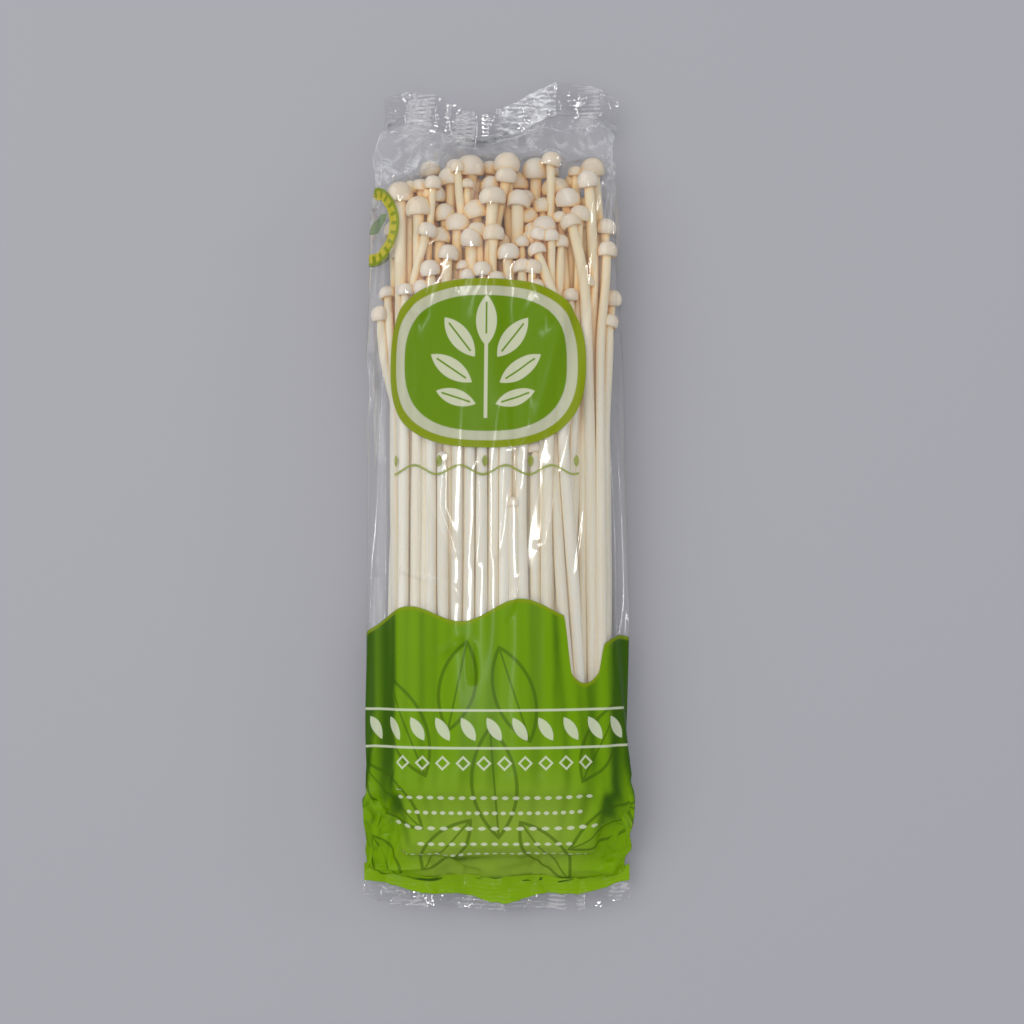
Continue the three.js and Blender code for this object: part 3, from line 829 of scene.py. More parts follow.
def along_line(places, line):
    """How far places are from a line, and their place along it from 0 to 1."""
    line = np.array(line) * MM
    steps = np.hypot(*np.diff(line, axis=0).T)
    nearest, share, run = np.full(len(places), 1.0), np.zeros(len(places)), 0.0
    for start, end, length in zip(line[:-1], line[1:], steps):
        t = np.clip(((places - start) @ (end - start)) / length ** 2, 0, 1)
        away = np.hypot(*(places - start - t[:, None] * (end - start)).T)
        share = np.where(away < nearest, (run + t * length) / steps.sum(), share)
        nearest = np.minimum(nearest, away)
        run += length
    return nearest, share


facing_up = numbers(pouch.data.vertices, "normal", 3)[:, 2] > 0
front_side = (points[:, 2] > FOLD_Z * 0.8) & facing_up
for height, width, line in CREASES:
    away, share = along_line(points[:, :2], line)
    ridge = np.exp(-(away / (width * MM)) ** 2) * np.sin(share * math.pi) ** 0.4
    points[:, 2] += front_side * height * MM * ridge
set_points(pouch, points)
print(len(CREASES), "creases pressed in")

# %% Press the base in where it would touch the film
BASE_CLEARANCE = 0.00025
CUT_CLEARANCE = 0.0007  # more at its sharp cut edge
film_faces = [tuple(face.vertices) for face in pouch.data.polygons]
film_tree = BVHTree.FromPolygons([Vector(place) for place in points], film_faces)
base_points = mesh_points(base)
free_points = base_points.copy()
clearances = np.interp(free_points[:, 1], (base_low.y, ROOT_Y), (CUT_CLEARANCE, BASE_CLEARANCE))
for number, (x, y, z) in enumerate(free_points):
    roof = film_tree.ray_cast(Vector((x, y, ABOVE)), Vector((0, 0, -1)))[0]
    ground = film_tree.ray_cast(Vector((x, y, -ABOVE)), Vector((0, 0, 1)))[0]
    if roof and ground:
        low, high = ground.z + clearances[number], roof.z - clearances[number]
        base_points[number, 2] = min(max(z, min(low, FOLD_Z)), max(high, FOLD_Z))
set_points(base, base_points)
pressed = np.abs(base_points - free_points)[:, 2]
deepest = round(pressed.max() / MM, 2)
print("pressed", int((pressed > 0).sum()), "points of the base in, by up to", deepest, "mm")

# %% How sharply the film is creased
CREASE_LOW, CREASE_HIGH = 0.10, 0.55  # a point's height over its neighbours, in edge lengths
edge_length = np.linalg.norm(points[edges[:, 0]] - points[edges[:, 1]], axis=1).mean()
bend = np.stack([mean_of_neighbours(points[:, k], edges, counts) for k in range(3)], axis=-1) - points
sharp = np.linalg.norm(bend, axis=1) / edge_length
set_value(pouch.data, "crease", np.clip((sharp - CREASE_LOW) / (CREASE_HIGH - CREASE_LOW), 0, 1))
print("creased points", round(float((sharp > CREASE_LOW).mean()), 3))

# %% Where the film lies on the pale bunch: painted light on its print there, and painted shade elsewhere
BACKED_NEAR, BACKED_FAR = 0.0004, 0.003
above = points[:, 2] - read_field(fine_tops, points[:, 0], points[:, 1])
below = read_field(fine_bottoms, points[:, 0], points[:, 1]) - points[:, 2]
gap = np.where(points[:, 2] > FOLD_Z, above, below)
gap = np.where(on_bunch, gap, BACKED_FAR)
backed = np.clip((BACKED_FAR - gap) / (BACKED_FAR - BACKED_NEAR), 0, 1)
set_value(pouch.data, "backed", mean_of_neighbours(backed, edges, counts))
print("the film lies on the bunch over", round(float((backed > 0.9).mean()), 2), "of its points")

# %% How enclosed each point of the mushrooms is
# Light that reaches a crevice has gone through much flesh, which makes it warm; the skin paints this as a
# warm glow and brown shade in crevices. Rays from every point tell how close its neighbours stand.
LOOKS = 14
LOOK_REACH = 0.008
LOOK_START = 0.00008
look_up = 1 - (np.arange(LOOKS) + 0.5) / LOOKS * 2
look_turn = np.arange(LOOKS) * math.pi * (3 - math.sqrt(5))
look_side = np.sqrt(1 - look_up ** 2)
looks = np.stack([look_side * np.cos(look_turn), look_side * np.sin(look_turn), look_up], axis=-1)
look_vectors = [Vector(look) for look in looks]


def enclosed(piece):
    """From 0, open all round, to 1, with flesh close by on all sides."""
    places = mesh_points(piece)
    facings = numbers(piece.data.vertices, "normal", 3)
    ahead = facings @ looks.T
    closed = np.zeros(len(places))
    for number, start in enumerate(places + facings * LOOK_START):
        near, total = 0.0, 0.0
        for look in np.flatnonzero(ahead[number] > 0.2):
            gap = bunch_tree.ray_cast(start, look_vectors[look], LOOK_REACH)[3]
            total += ahead[number, look]
            if gap is not None:
                near += ahead[number, look] * (1 - gap / LOOK_REACH)
        closed[number] = near / max(total, 1e-6)
    piece_edges = numbers(piece.data.edges, "vertices", 2, np.int64)
    piece_counts = np.maximum(np.bincount(piece_edges.ravel(), minlength=len(places)), 1)
    return closed * 0.5 + 0.5 * mean_of_neighbours(closed, piece_edges, piece_counts)


for piece in visual_mushrooms + [behind]:
    shut = enclosed(piece)
    set_value(piece.data, "enclosed", shut)
print("enclosed shares behind", np.percentile(shut, [5, 25, 50, 75, 95]).round(2))

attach(pouch, "root")
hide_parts("film_front", "film_back")

# %% [markdown]
# ## The welded strips and the seam at the back
#
# The ends are pressed flat by ribbed jaws, which leave fine ribs along the strip and crush the film a
# little. Each strip is a fine grid laid along the same line as the pouch's end, ribbed, crumpled by
# folded noise and given a wall. The seam at the back, where the sheet's two edges meet, is a narrow strip
# folded flat under the pack.

# %% Strips along the welded ends
STRIP_ACROSS = 190
STRIP_ALONG = 26
STRIP_WALL = 0.00012
INNER_WIDTH = 0.99  # a strip's width where it meets the pouch, as a share of the pouch's
RIB_PITCH = 0.00105
RIB_HEIGHT = 0.00008
TUCK = 0.0011  # how far the strip reaches over the pouch's end


def crumple(x, y, size, seed):
    """Sharp creases between flat facets: the folded difference of two smooth noises."""
    a = noise.noise(Vector((x / size, y / size, seed)))
    b = noise.noise(Vector((x / size * 1.9 + 7, y / size * 1.9, seed + 3)))
    return abs(a) + abs(b) * 0.5


def weld_strip(name, edge, inward, outer_width, node, seed):
    """A ribbed strip from a welded edge, narrowed a little there, to the pouch's own width."""
    deselect_all()
    bpy.ops.mesh.primitive_grid_add(x_subdivisions=STRIP_ACROSS, y_subdivisions=STRIP_ALONG, size=1)
    strip = bpy.context.object
    strip.name = name
    strip.data.uv_layers[0].name = "FilmSheet"
    places = mesh_points(strip)
    across, depth = places[:, 0] + 0.5, (places[:, 1] + 0.5)
    if inward < 0:
        depth = 1 - depth
    points = edge_points(edge, across)
    reach = depth * (SEAL_LENGTH * 0.97 + TUCK)
    rough_edge = np.array([noise.noise(Vector((s * 40, seed, 0))) for s in across]) * 0.0005
    points[:, 1] += inward * (reach + rough_edge * (1 - depth))
    held_x = seam_points[seam_points[:, 1] * inward < 0, 0]
    inner_x = (held_x.min() + across * (held_x.max() - held_x.min())) * INNER_WIDTH
    points[:, 0] = points[:, 0] * outer_width * (1 - depth) + inner_x * depth
    print(name, "runs from", np.ptp(points[depth < 0.01, 0]).round(4), "wide to", np.ptp(inner_x).round(4))
    middle = np.sin(np.clip(depth * 1.15, 0, 1) * math.pi) ** 0.5
    ribs = np.cos(reach / RIB_PITCH * 2 * math.pi) * RIB_HEIGHT * np.clip(middle * 1.4, 0, 1)
    creases = np.array([crumple(x, y, 0.0062, seed) for x, y in points[:, :2]])
    free = np.clip(1 - depth, 0, 1)  # the outer edge is free to stand up, and the inner one is held
    points[:, 2] += ribs + (creases - 0.25) * (0.0003 + 0.0011 * free)
    points[:, 2] = np.maximum(points[:, 2], 0.0004)
    set_points(strip, points)
    apply_modifier(strip, "SOLIDIFY", thickness=STRIP_WALL, offset=0)
    bpy.ops.object.shade_smooth_by_angle(angle=math.radians(60))
    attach(strip, "root")
    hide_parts(node)
    return strip


top_strip = weld_strip("weld_strip_top", TOP_EDGE, -1, 1.0, "seal_top", 2.5)
bottom_strip = weld_strip("weld_strip_bottom", BOTTOM_EDGE, 1, 0.99, "seal_bottom", 11.5)
print("strips", len(top_strip.data.polygons), len(bottom_strip.data.polygons), "faces")

# %% The seam at the back
fin_low, fin_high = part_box("back_fin_seal")
deselect_all()
bpy.ops.mesh.primitive_grid_add(x_subdivisions=10, y_subdivisions=210, size=1)
fin = bpy.context.object
fin.name = "back_seam"
places = mesh_points(fin)
across, along = places[:, 0] + 0.5, places[:, 1] + 0.5
points = np.empty_like(places)
points[:, 1] = fin_low.y + along * (fin_high.y - fin_low.y)
sway = np.array([noise.noise(Vector((0, y * 28, 4.5))) for y in points[:, 1]]) * 0.0007
points[:, 0] = fin_low.x + 0.0007 + across * (fin_high.x - fin_low.x - 0.0014) + sway
crimps = 0.00005 * np.cos(points[:, 0] / 0.0011 * 2 * math.pi)
points[:, 2] = 0.00016 + crimps + 0.00006 * np.array([noise.noise(p * 120) for p in map(Vector, points)])
set_points(fin, points)
apply_modifier(fin, "SOLIDIFY", thickness=STRIP_WALL, offset=0)
bpy.ops.object.shade_smooth()
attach(fin, "root")
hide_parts("back_fin_seal")
print("back seam", len(fin.data.polygons), "faces")

# %% [markdown]
# ## Writing materials as sums
#
# A material is a network of nodes. Drawn by hand, every sum in it is a node. Here a small class wraps a
# socket, so that a sum written in Python adds its Math nodes, and one method adds any other node with its
# settings and inputs.

# %% Sockets that can be added and multiplied


def operator(operation, reflected=False):
    """The method behind an operator: it adds this Math node, with its values swapped if reflected."""
    def method(self, *others):
        return self.maths(operation, *((*others, self) if reflected else (self, *others)))
    return method


class Wire:
    """A node's output that Python's operators work on."""

    def __init__(self, finish, socket):
        self.finish, self.socket = finish, socket

    def maths(self, operation, *values):
        return self.finish.node("ShaderNodeMath", {"operation": operation}, dict(enumerate(values)))

    __add__, __radd__ = operator("ADD"), operator("ADD", reflected=True)
    __sub__, __rsub__ = operator("SUBTRACT"), operator("SUBTRACT", reflected=True)
    __mul__, __rmul__ = operator("MULTIPLY"), operator("MULTIPLY", reflected=True)
    __truediv__, __pow__, __abs__ = operator("DIVIDE"), operator("POWER"), operator("ABSOLUTE")
    least, most = operator("MINIMUM"), operator("MAXIMUM")
    sine, root = operator("SINE"), operator("SQRT")

    def wrap(self, pitch):
        return self.maths("WRAP", self, pitch / 2, -pitch / 2)

    def between(self, low, high):
        """0 up to low, 1 from high on, and smooth between; low may be over high."""
        values = {"Value": self, "From Min": low, "From Max": high, "To Min": 0, "To Max": 1}
        if low > high:
            values.update({"From Min": high, "From Max": low, "To Min": 1, "To Max": 0})
        return self.finish.node("ShaderNodeMapRange", {"interpolation_type": "SMOOTHSTEP"}, values)


class Finish:
    """A material that is made from Python."""

    def __init__(self, name):
        self.material = bpy.data.materials.new(name)
        self.material.use_nodes = True
        self.tree = self.material.node_tree
        self.tree.nodes.clear()

    def node(self, kind, settings=None, inputs=None, output=0):
        made = self.tree.nodes.new(kind)
        for setting, value in (settings or {}).items():
            setattr(made, setting, value)
        for name, value in (inputs or {}).items():
            if isinstance(value, Wire):
                self.tree.links.new(value.socket, made.inputs[name])
            else:
                made.inputs[name].default_value = value
        return Wire(self, made.outputs[output]) if made.outputs else None

    def mix(self, share, low, high):
        """A colour between two, by a share from 0 to 1."""
        return self.node("ShaderNodeMix", {"data_type": "RGBA"}, {0: share, 6: low, 7: high}, output=2)

    def blend(self, share, low, high):
        """A shader between two, by a share from 0 to 1."""
        return self.node("ShaderNodeMixShader", None, {0: share, 1: low, 2: high})

    def axis(self, place, number):
        """The x, y or z of a place."""
        return self.node("ShaderNodeSeparateXYZ", None, {0: place}, output=number)

    def value(self, name):
        return self.node("ShaderNodeAttribute", {"attribute_name": name}, output="Fac")

    def noise(self, place, scale, detail=2.0, roughness=0.5):
        return self.node("ShaderNodeTexNoise", None, {
            "Vector": place, "Scale": scale, "Detail": detail, "Roughness": roughness}, output="Fac")

    def scaled(self, place, scale):
        return self.node("ShaderNodeMapping", None, {"Vector": place, "Scale": scale})

    def place(self):
        return self.node("ShaderNodeTexCoord", output="Object")

    def bump(self, height, distance, strength=1.0):
        values = {"Height": height, "Distance": distance, "Strength": strength}
        return self.node("ShaderNodeBump", None, values)

    def surface(self, shader):
        self.node("ShaderNodeOutputMaterial", None, {"Surface": shader})
        return self.material


def colour(red, green, blue):
    """A screen colour from 0 to 255, as Blender's linear colour."""
    shares = [part / 255 for part in (red, green, blue)]
    return (*[s / 12.92 if s < 0.04045 else ((s + 0.055) / 1.055) ** 2.4 for s in shares], 1)


# %% [markdown]
# ## Skin of the mushrooms
#
# Caps are satin cream domes, and stems are a little warmer, with fine fibres along them. Light goes some
# way into the flesh, which subsurface scattering does. Crevices between mushrooms get a painted warm glow,
# the closest ones painted brown shade, and the stems a painted warmth just under the caps. The attribute
# that tells how enclosed a point is picks the crevice colours.

# %% Mushroom skin
CAP_CREAM = colour(215, 206, 192)
CAP_WARM = colour(214, 196, 164)
STEM_PALE = colour(217, 214, 202)
STEM_STREAK = colour(213, 201, 172)
# Painted warmth for the stems just under the caps, standing in for light that has gone through the flesh:
STEM_PAINTED_WARMTH = colour(226, 206, 160)
# Painted shade and glow for crevices, picked by how enclosed a point is:
CREVICE_PAINTED_AMBER = colour(240, 200, 128)
CREVICE_PAINTED_PALE = colour(242, 229, 200)
CREVICE_PAINTED_BROWN = colour(206, 122, 44)
FLESH_SCATTER = (1.0, 0.76, 0.46)


def mushroom_skin():
    skin = Finish("enoki_skin")
    place = skin.place()
    fibres = skin.noise(skin.scaled(place, (1, 0.035, 1)), 1900, 3, 0.6)
    patches = skin.noise(skin.scaled(place, (1, 0.3, 1)), 160, 3)
    pores = skin.noise(place, 2600, 2, 0.7)
    cap, tone = skin.value("cap"), skin.value("tone")
    # Painted shade: crevices are tinted warm, and the most enclosed places brown, by how enclosed a point is.
    shut = skin.value("enclosed").between(0.12, 0.65)
    deep = skin.value("enclosed").between(0.55, 0.95)
    along = skin.axis(place, 1)
    high = along.between(0.0, 0.05)
    core = skin.mix(high, CREVICE_PAINTED_PALE, CREVICE_PAINTED_AMBER)
    stem_colour = skin.mix(fibres.between(0.42, 0.66) * 0.4 + tone * 0.35, STEM_PALE, STEM_STREAK)
    # Painted warmth on the stems just under the caps.
    stem_colour = skin.mix(along.between(0.015, 0.06) * 0.6, stem_colour, STEM_PAINTED_WARMTH)
    cap_colour = skin.mix(patches.between(0.35, 0.75) * 0.6 + tone * 0.25, CAP_CREAM, CAP_WARM)
    outside = skin.mix(cap, stem_colour, cap_colour)
    flesh = skin.mix(shut * (0.75 + 0.25 * patches), outside, core)
    flesh = skin.mix(deep * (0.1 + 0.75 * high), flesh, CREVICE_PAINTED_BROWN)
    fibre_height = fibres * (1 - cap) + pores * cap * 0.35
    return skin.surface(skin.node("ShaderNodeBsdfPrincipled", None, {
        "Base Color": flesh,
        "Roughness": 0.5 - 0.14 * cap + 0.1 * patches,
        "Subsurface Weight": 0.35,
        "Subsurface Radius": FLESH_SCATTER,
        "Subsurface Scale": 0.0016,
        "Specular IOR Level": 0.4,
        "Normal": skin.bump(fibre_height, 0.00006, 0.5),
    }))


def put_on(piece, *materials):
    piece.data.materials.clear()
    for material in materials:
        piece.data.materials.append(material)


skin_material = mushroom_skin()
for piece in visual_mushrooms + [behind]:
    put_on(piece, skin_material)

# %% The base's skin: like the stems above, brown and coarse at its cut
BASE_TAN = colour(222, 196, 150)
CUT_BROWN = colour(160, 112, 66)


def base_skin():
    skin = Finish("enoki_base_skin")
    place = skin.place()
    along = skin.axis(place, 1)
    fibres = skin.noise(skin.scaled(place, (1, 0.08, 1)), 1200, 4, 0.6)
    grain = skin.noise(place, 900, 5, 0.7)
    near_cut = (along + grain * 0.004).between(base_low.y + 0.0075, base_low.y + 0.002)
    side = skin.mix(fibres.between(0.35, 0.7), STEM_STREAK, BASE_TAN)
    flesh = skin.mix(near_cut * (0.55 + 0.45 * grain), side, CUT_BROWN)
    return skin.surface(skin.node("ShaderNodeBsdfPrincipled", None, {
        "Base Color": flesh,
        "Roughness": 0.62 + 0.2 * grain,
        "Subsurface Weight": 0.2,
        "Subsurface Radius": FLESH_SCATTER,
        "Subsurface Scale": 0.0012,
        "Normal": skin.bump(grain * (0.3 + near_cut) + fibres * 0.5, 0.00016, 0.7),
    }))


put_on(base, base_skin())

# %% [markdown]
# ## Printed film
#
# The film is clear, glossy and printed. Its map, made when it was still a flat sheet, gives a place in
# millimetres across and along the sheet. Shapes of the print are sums on these two lengths: an oval badge
# with a ring and a leaf sprig, a roundel at the left fold, a green foot with a wavy edge, outlines of
# leaves and bands of ornament. Where there is ink, the film is a coloured plastic, with painted light where
# the pale bunch lies behind it and painted shade where nothing pale does. Where there is none, it only
# mirrors, and whitens a little at its creases, which also paints a highlight along its folds.

# %% Shapes on the sheet, all lengths in millimetres
SHEET_WIDTH = 4 * FLAT_HALF / MM
SHEET_LENGTH = FLAT_LENGTH / MM
EDGE = 0.12  # how soft a printed edge is


def inside(distance, soft=EDGE):
    """1 where a distance is below 0, with a soft edge."""
    return distance.between(soft, -soft)


def circle(x, y, middle, radius):
    return ((x - middle[0]) ** 2 + (y - middle[1]) ** 2).root() - radius


def turned(x, y, middle, degrees):
    """x and y as seen from a shape that stands at a middle and is turned."""
    c, s = math.cos(math.radians(degrees)), math.sin(math.radians(degrees))
    across, along = x - middle[0], y - middle[1]
    return across * c + along * s, along * c - across * s


def leaf(x, y, half_length, half_width):
    """How far outside a pointed leaf along y a place is: the overlap of two circles."""
    radius = (half_length ** 2 + half_width ** 2) / (2 * half_width)
    return ((abs(x) + (radius - half_width)) ** 2 + y ** 2).root() - radius


# %% The badge, the roundel and the line under the badge
BADGE_MIDDLE = (-2.3, 31.5)
BADGE_HALF = (25.4, 21.0)
BADGE_RIM, BADGE_RING = 1.8, 2.3
# Middle, turn, half length and half width of the sprig's leaves on its right; the left side mirrors them.
SPRIG_LEAVES = [
    (0, 10.6, 0, 6.4, 2.6), (6.6, 6.4, -38, 6.2, 2.5), (8.6, -1.4, -56, 6.2, 2.4), (7.4, -8.6, -72, 5.2, 2.0),
]
ROUNDEL_MIDDLE = (-36.0, 67.0)
ROUNDEL_RADIUS = 10.6
TENDRIL_Y = 5.0


def badge(x, y):
    across, along = x - BADGE_MIDDLE[0], y - BADGE_MIDDLE[1]
    reach = ((abs(across) / BADGE_HALF[0]) ** 2.6 + (abs(along) / BADGE_HALF[1]) ** 2.6) ** (1 / 2.6)
    off = (reach - 1) * BADGE_HALF[1]
    rim = inside(off)
    ring = inside(off + BADGE_RIM)
    field = inside(off + BADGE_RIM + BADGE_RING)
    sprig = inside(abs(across) - 0.45) * inside(abs(along + 3.2) - 10.5)
    for cx, cy, angle, length, width in SPRIG_LEAVES:
        lx, ly = turned(abs(across), along, (cx, cy), angle)
        blade = leaf(lx, ly, length, width)
        vein = inside(abs(lx) - 0.22) * inside(abs(ly) - length * 0.72)
        sprig = sprig.most(inside(blade) * (1 - vein))
    return rim, ring, field, sprig * field


def roundel(x, y):
    away = circle(x, y, ROUNDEL_MIDDLE, 0)
    ring = inside(away - ROUNDEL_RADIUS) * (1 - inside(away - ROUNDEL_RADIUS * 0.72))
    rim = 1 - inside(away - ROUNDEL_RADIUS + 0.8)
    up, out = y - ROUNDEL_MIDDLE[1], x - ROUNDEL_MIDDLE[0]
    turn = up.maths("ARCTAN2", up, out)
    rays = inside(abs(turn.wrap(math.pi / 12)) - 0.05, 0.02) * inside(abs(away - ROUNDEL_RADIUS * 0.86) - 0.9)
    heart_x, heart_y = turned(x, y, (ROUNDEL_MIDDLE[0] + 3.4, ROUNDEL_MIDDLE[1]), -52)
    heart = inside(leaf(heart_x, heart_y, 4.2, 1.7))
    return ring, rays.most(rim), heart


def tendril(x, y):
    wave = abs(y - TENDRIL_Y - 1.1 * (x * 0.55).sine()) - 0.32
    span = inside(abs(x - BADGE_MIDDLE[0]) - 23.5)
    px = (x - BADGE_MIDDLE[0]).wrap(11.42)
    buds = inside(leaf(px, y - TENDRIL_Y - 2.2, 1.5, 0.75))
    return (inside(wave).most(buds)) * span


# %% The green foot with its outlines and ornaments
FOOT_TOP = -33.1
NOTCH_MIDDLE, NOTCH_HALF, NOTCH_FLOOR = 22.8, 4.7, -47.5  # the clear notch in its edge
RIGHT_DROP = 8.4  # how much lower the edge is to the right of the notch
OUTLINE_LEAVES = [
    (-22, -58, 24, 13, 5), (-9, -48, -12, 11, 4.4), (5, -50, 18, 12, 4.8), (-27, -76, 50, 12, 4.6),
    (27, -62, -30, 11, 4.4), (29, -84, -62, 12, 4.4), (-13, -90, -40, 11, 4.2), (13, -92, 34, 12, 4.6),
    (0, -72, 4, 14, 5.4), (-30, -95, 20, 9, 3.6),
]
BAND_Y, BAND_HALF = -58.5, 4.6
LOZENGE_Y = -66.8
DOT_ROWS = [(-75.5, 25, 2.6), (-79.6, 22, 2.1), (-83.7, 27, 3.1), (-87.8, 19, 2.6), (-91.9, 23, 2.1)]


def foot(x, y):
    edge = FOOT_TOP + 4.1 * (x * 0.03 + 1.2).sine() + 2.4 * (x * 0.22 + 0.12).sine()
    right_drop = RIGHT_DROP * x.between(SHEET_WIDTH / 2, SHEET_WIDTH / 4)  # none left at the seam behind
    edge = edge - right_drop * x.between(NOTCH_MIDDLE, NOTCH_MIDDLE + NOTCH_HALF + 1)
    off = x - NOTCH_MIDDLE
    notch_floor = NOTCH_FLOOR + 0.2 * off * off
    edge = edge - (edge - notch_floor) * abs(off).between(NOTCH_HALF + 0.9, NOTCH_HALF - 1.3)
    ink = inside(y - edge, 0.15)
    rim = ink * (1 - inside(y - edge + 0.9, 0.35))
    return ink, rim


def outlines(x, y):
    lines = None
    for cx, cy, angle, length, width in OUTLINE_LEAVES:
        lx, ly = turned(x, y, (cx, cy), angle)
        blade = leaf(lx, ly, length, width)
        line = inside(abs(blade) - 0.42).most(inside(abs(lx) - 0.25) * inside(blade))
        lines = line if lines is None else lines.most(line)
    return lines


def ornaments(x, y):
    """White on the green foot: a band of leaves between two lines, a row of lozenges, and rows of dots."""
    lx = x.wrap(6.3)
    row = y - BAND_Y
    tilt_x, tilt_y = turned(lx, row, (0, 0), 32)
    band = inside(leaf(tilt_x, tilt_y, 3.3, 1.35))
    band = band.most(inside(abs(abs(row) - BAND_HALF) - 0.3))
    band = band * inside(abs(x) - 35.4)
    zx = (x - 2.5).wrap(5.0)
    lozenge = abs(abs(zx) / 1.9 + abs(y - LOZENGE_Y) / 1.9 - 0.8) - 0.18
    white = band.most(inside(lozenge, 0.05) * inside(abs(x) - 24.8))
    for row_y, half, pitch in DOT_ROWS:
        dots = inside(leaf(y - row_y, x.wrap(pitch), pitch * 0.33, 0.5))
        white = white.most(dots * inside(abs(x) - half))
    return white


print("print:", len(SPRIG_LEAVES) + len(OUTLINE_LEAVES), "leaves,", len(DOT_ROWS), "rows of dots")

# %% Clear film and ink together
INK_GREEN = colour(99, 140, 0)
INK_DEEP = colour(70, 112, 0)
# Painted shade: the ink's colour where the film does not lie on the pale bunch.
INK_SHADED = colour(50, 85, 0)  # where nothing pale lies behind it
INK_LIME = colour(122, 160, 0)
INK_OLIVE = colour(122, 138, 0)
INK_LEMON = colour(180, 170, 40)
# Painted light: the ink is lighter in the lower middle, where the pale base lies close behind it.
INK_PAINTED_GLOW = colour(140, 160, 66)  # thin ink with the pale base close behind it
INK_DARK = colour(56, 84, 0)
INK_WHITE = colour(206, 210, 184)
RING_WHITE = colour(190, 193, 162)
BADGE_GREEN = colour(95, 130, 0)
# The film's white at its creases, partly real whitening and partly a painted highlight along the folds.
CREASE_WHITE = (0.9, 0.91, 0.93, 1)


def clear_part(finish, crease_gain, roughness, bump=None, gloss=1.48, clarity=0.985):
    """Film without ink: a mirror at its gloss, see-through else, and milky at creases, partly a painted
    highlight along the folds.
    """
    extra = {} if bump is None else {"Normal": bump}
    shine = {"Color": (1, 1, 1, 1), "Roughness": roughness}
    gleam = finish.node("ShaderNodeBsdfGlossy", None, {**shine, **extra})
    through = finish.node("ShaderNodeBsdfTransparent", None, {"Color": (clarity, clarity, clarity, 1)})
    fresnel = finish.node("ShaderNodeFresnel", None, {"IOR": gloss, **extra})
    film = finish.blend(fresnel.least(0.3), through, gleam)
    milk = finish.node("ShaderNodeBsdfPrincipled", None, {"Base Color": CREASE_WHITE, "Roughness": 0.35})
    return finish.blend(crease_gain, film, milk)


def sheet_place(film):
    """Millimetres across the sheet from the front's middle, and along it from the pack's middle."""
    sheet = film.node("ShaderNodeUVMap", {"uv_map": "FilmSheet"})
    return (film.axis(sheet, 0) - 0.5) * SHEET_WIDTH, (film.axis(sheet, 1) - 0.5) * SHEET_LENGTH


def film_parts(film):
    """The film's ripple, and its clear part."""
    place = film.place()
    fine = film.noise(film.scaled(place, (1, 0.25, 1)), 260, 2)
    broad = film.noise(film.scaled(place, (1, 0.3, 1)), 95, 1)
    ripple = film.bump(fine * 0.07 + broad * 0.4, 0.0004, 0.6)
    dust = film.noise(place, 700, 3, 0.7).between(0.5, 0.8)
    # The crease whitening is partly a painted highlight along the folds.
    milky = (0.03 + film.value("crease") * 0.3 + dust * 0.04).least(0.8)
    return ripple, clear_part(film, milky, 0.085, ripple)


def ink_part(film, ink_colour, mottle, ripple):
    return film.node("ShaderNodeBsdfPrincipled", None, {
        "Base Color": ink_colour,
        "Roughness": 0.22 + 0.1 * mottle,
        "Specular IOR Level": 0.07,
        "Normal": ripple,
    })


def clear_film():
    film = Finish("clear_film")
    ripple, clear = film_parts(film)
    return film.surface(clear)


def badge_film():
    """The film above the foot, with the badge, the roundel and the line under the badge."""
    film = Finish("badge_film")
    x, y = sheet_place(film)
    ripple, clear = film_parts(film)
    mottle = film.noise(film.place(), 45, 2)
    rim, ring, field, sprig = badge(x, y)
    badge_colour = film.mix(ring, INK_OLIVE, RING_WHITE)
    badge_colour = film.mix(field, badge_colour, BADGE_GREEN)
    badge_colour = film.mix(sprig, badge_colour, RING_WHITE)
    badge_cover = rim * (0.94 - 0.22 * ring * (1 - field))
    disc, rays, heart = roundel(x, y)
    disc_colour = film.mix(rays, INK_LEMON, INK_OLIVE)
    disc_colour = film.mix(heart, disc_colour, INK_DEEP)
    inked = film.mix(rim, INK_OLIVE, badge_colour)
    inked = film.mix(disc.most(heart), inked, disc_colour)
    cover = badge_cover.most(tendril(x, y) * 0.7).most(disc.most(heart * 0.7) * 0.82)
    ink = ink_part(film, inked, mottle, ripple)
    return film.surface(film.blend(cover, clear, ink))


def foot_film():
    """The green foot, on the front and the back."""
    film = Finish("foot_film")
    x, y = sheet_place(film)
    ripple, clear = film_parts(film)
    mottle = film.noise(film.place(), 45, 2)
    ink, foot_rim = foot(x, y)
    is_front = inside(abs(x) - SHEET_WIDTH / 4 - 1)
    inked = film.mix((y.between(-60, -104) * 0.5 + mottle * 0.3).least(1), INK_GREEN, INK_LIME)
    # Painted light on the foot's lower middle, over the pale base.
    pale = y.between(-62, -84) * abs(x).between(30, 12) * is_front
    inked = film.mix(pale * (0.2 + 0.5 * mottle), inked, INK_PAINTED_GLOW)
    # Painted light and shade: the ink is lighter where the film lies on the pale bunch, darker elsewhere.
    inked = film.mix(film.value("backed"), INK_SHADED, inked)
    inked = film.mix(foot_rim * 0.8, inked, INK_OLIVE)
    inked = film.mix(outlines(x, y) * 0.62, inked, INK_DARK)
    inked = film.mix(ornaments(x, y) * is_front * 0.72, inked, INK_WHITE)
    ink_shader = ink_part(film, inked, mottle, ripple)
    cover = ink * (0.99 - 0.03 * mottle)
    return film.surface(film.blend(cover, clear, ink_shader))


STRIP_REACH = (SEAL_LENGTH * 0.97 + TUCK) / MM
SCUFF_FROM, SCUFF_TO = 0.0005, 0.0142  # where a scuffed patch of the upper strip starts and ends


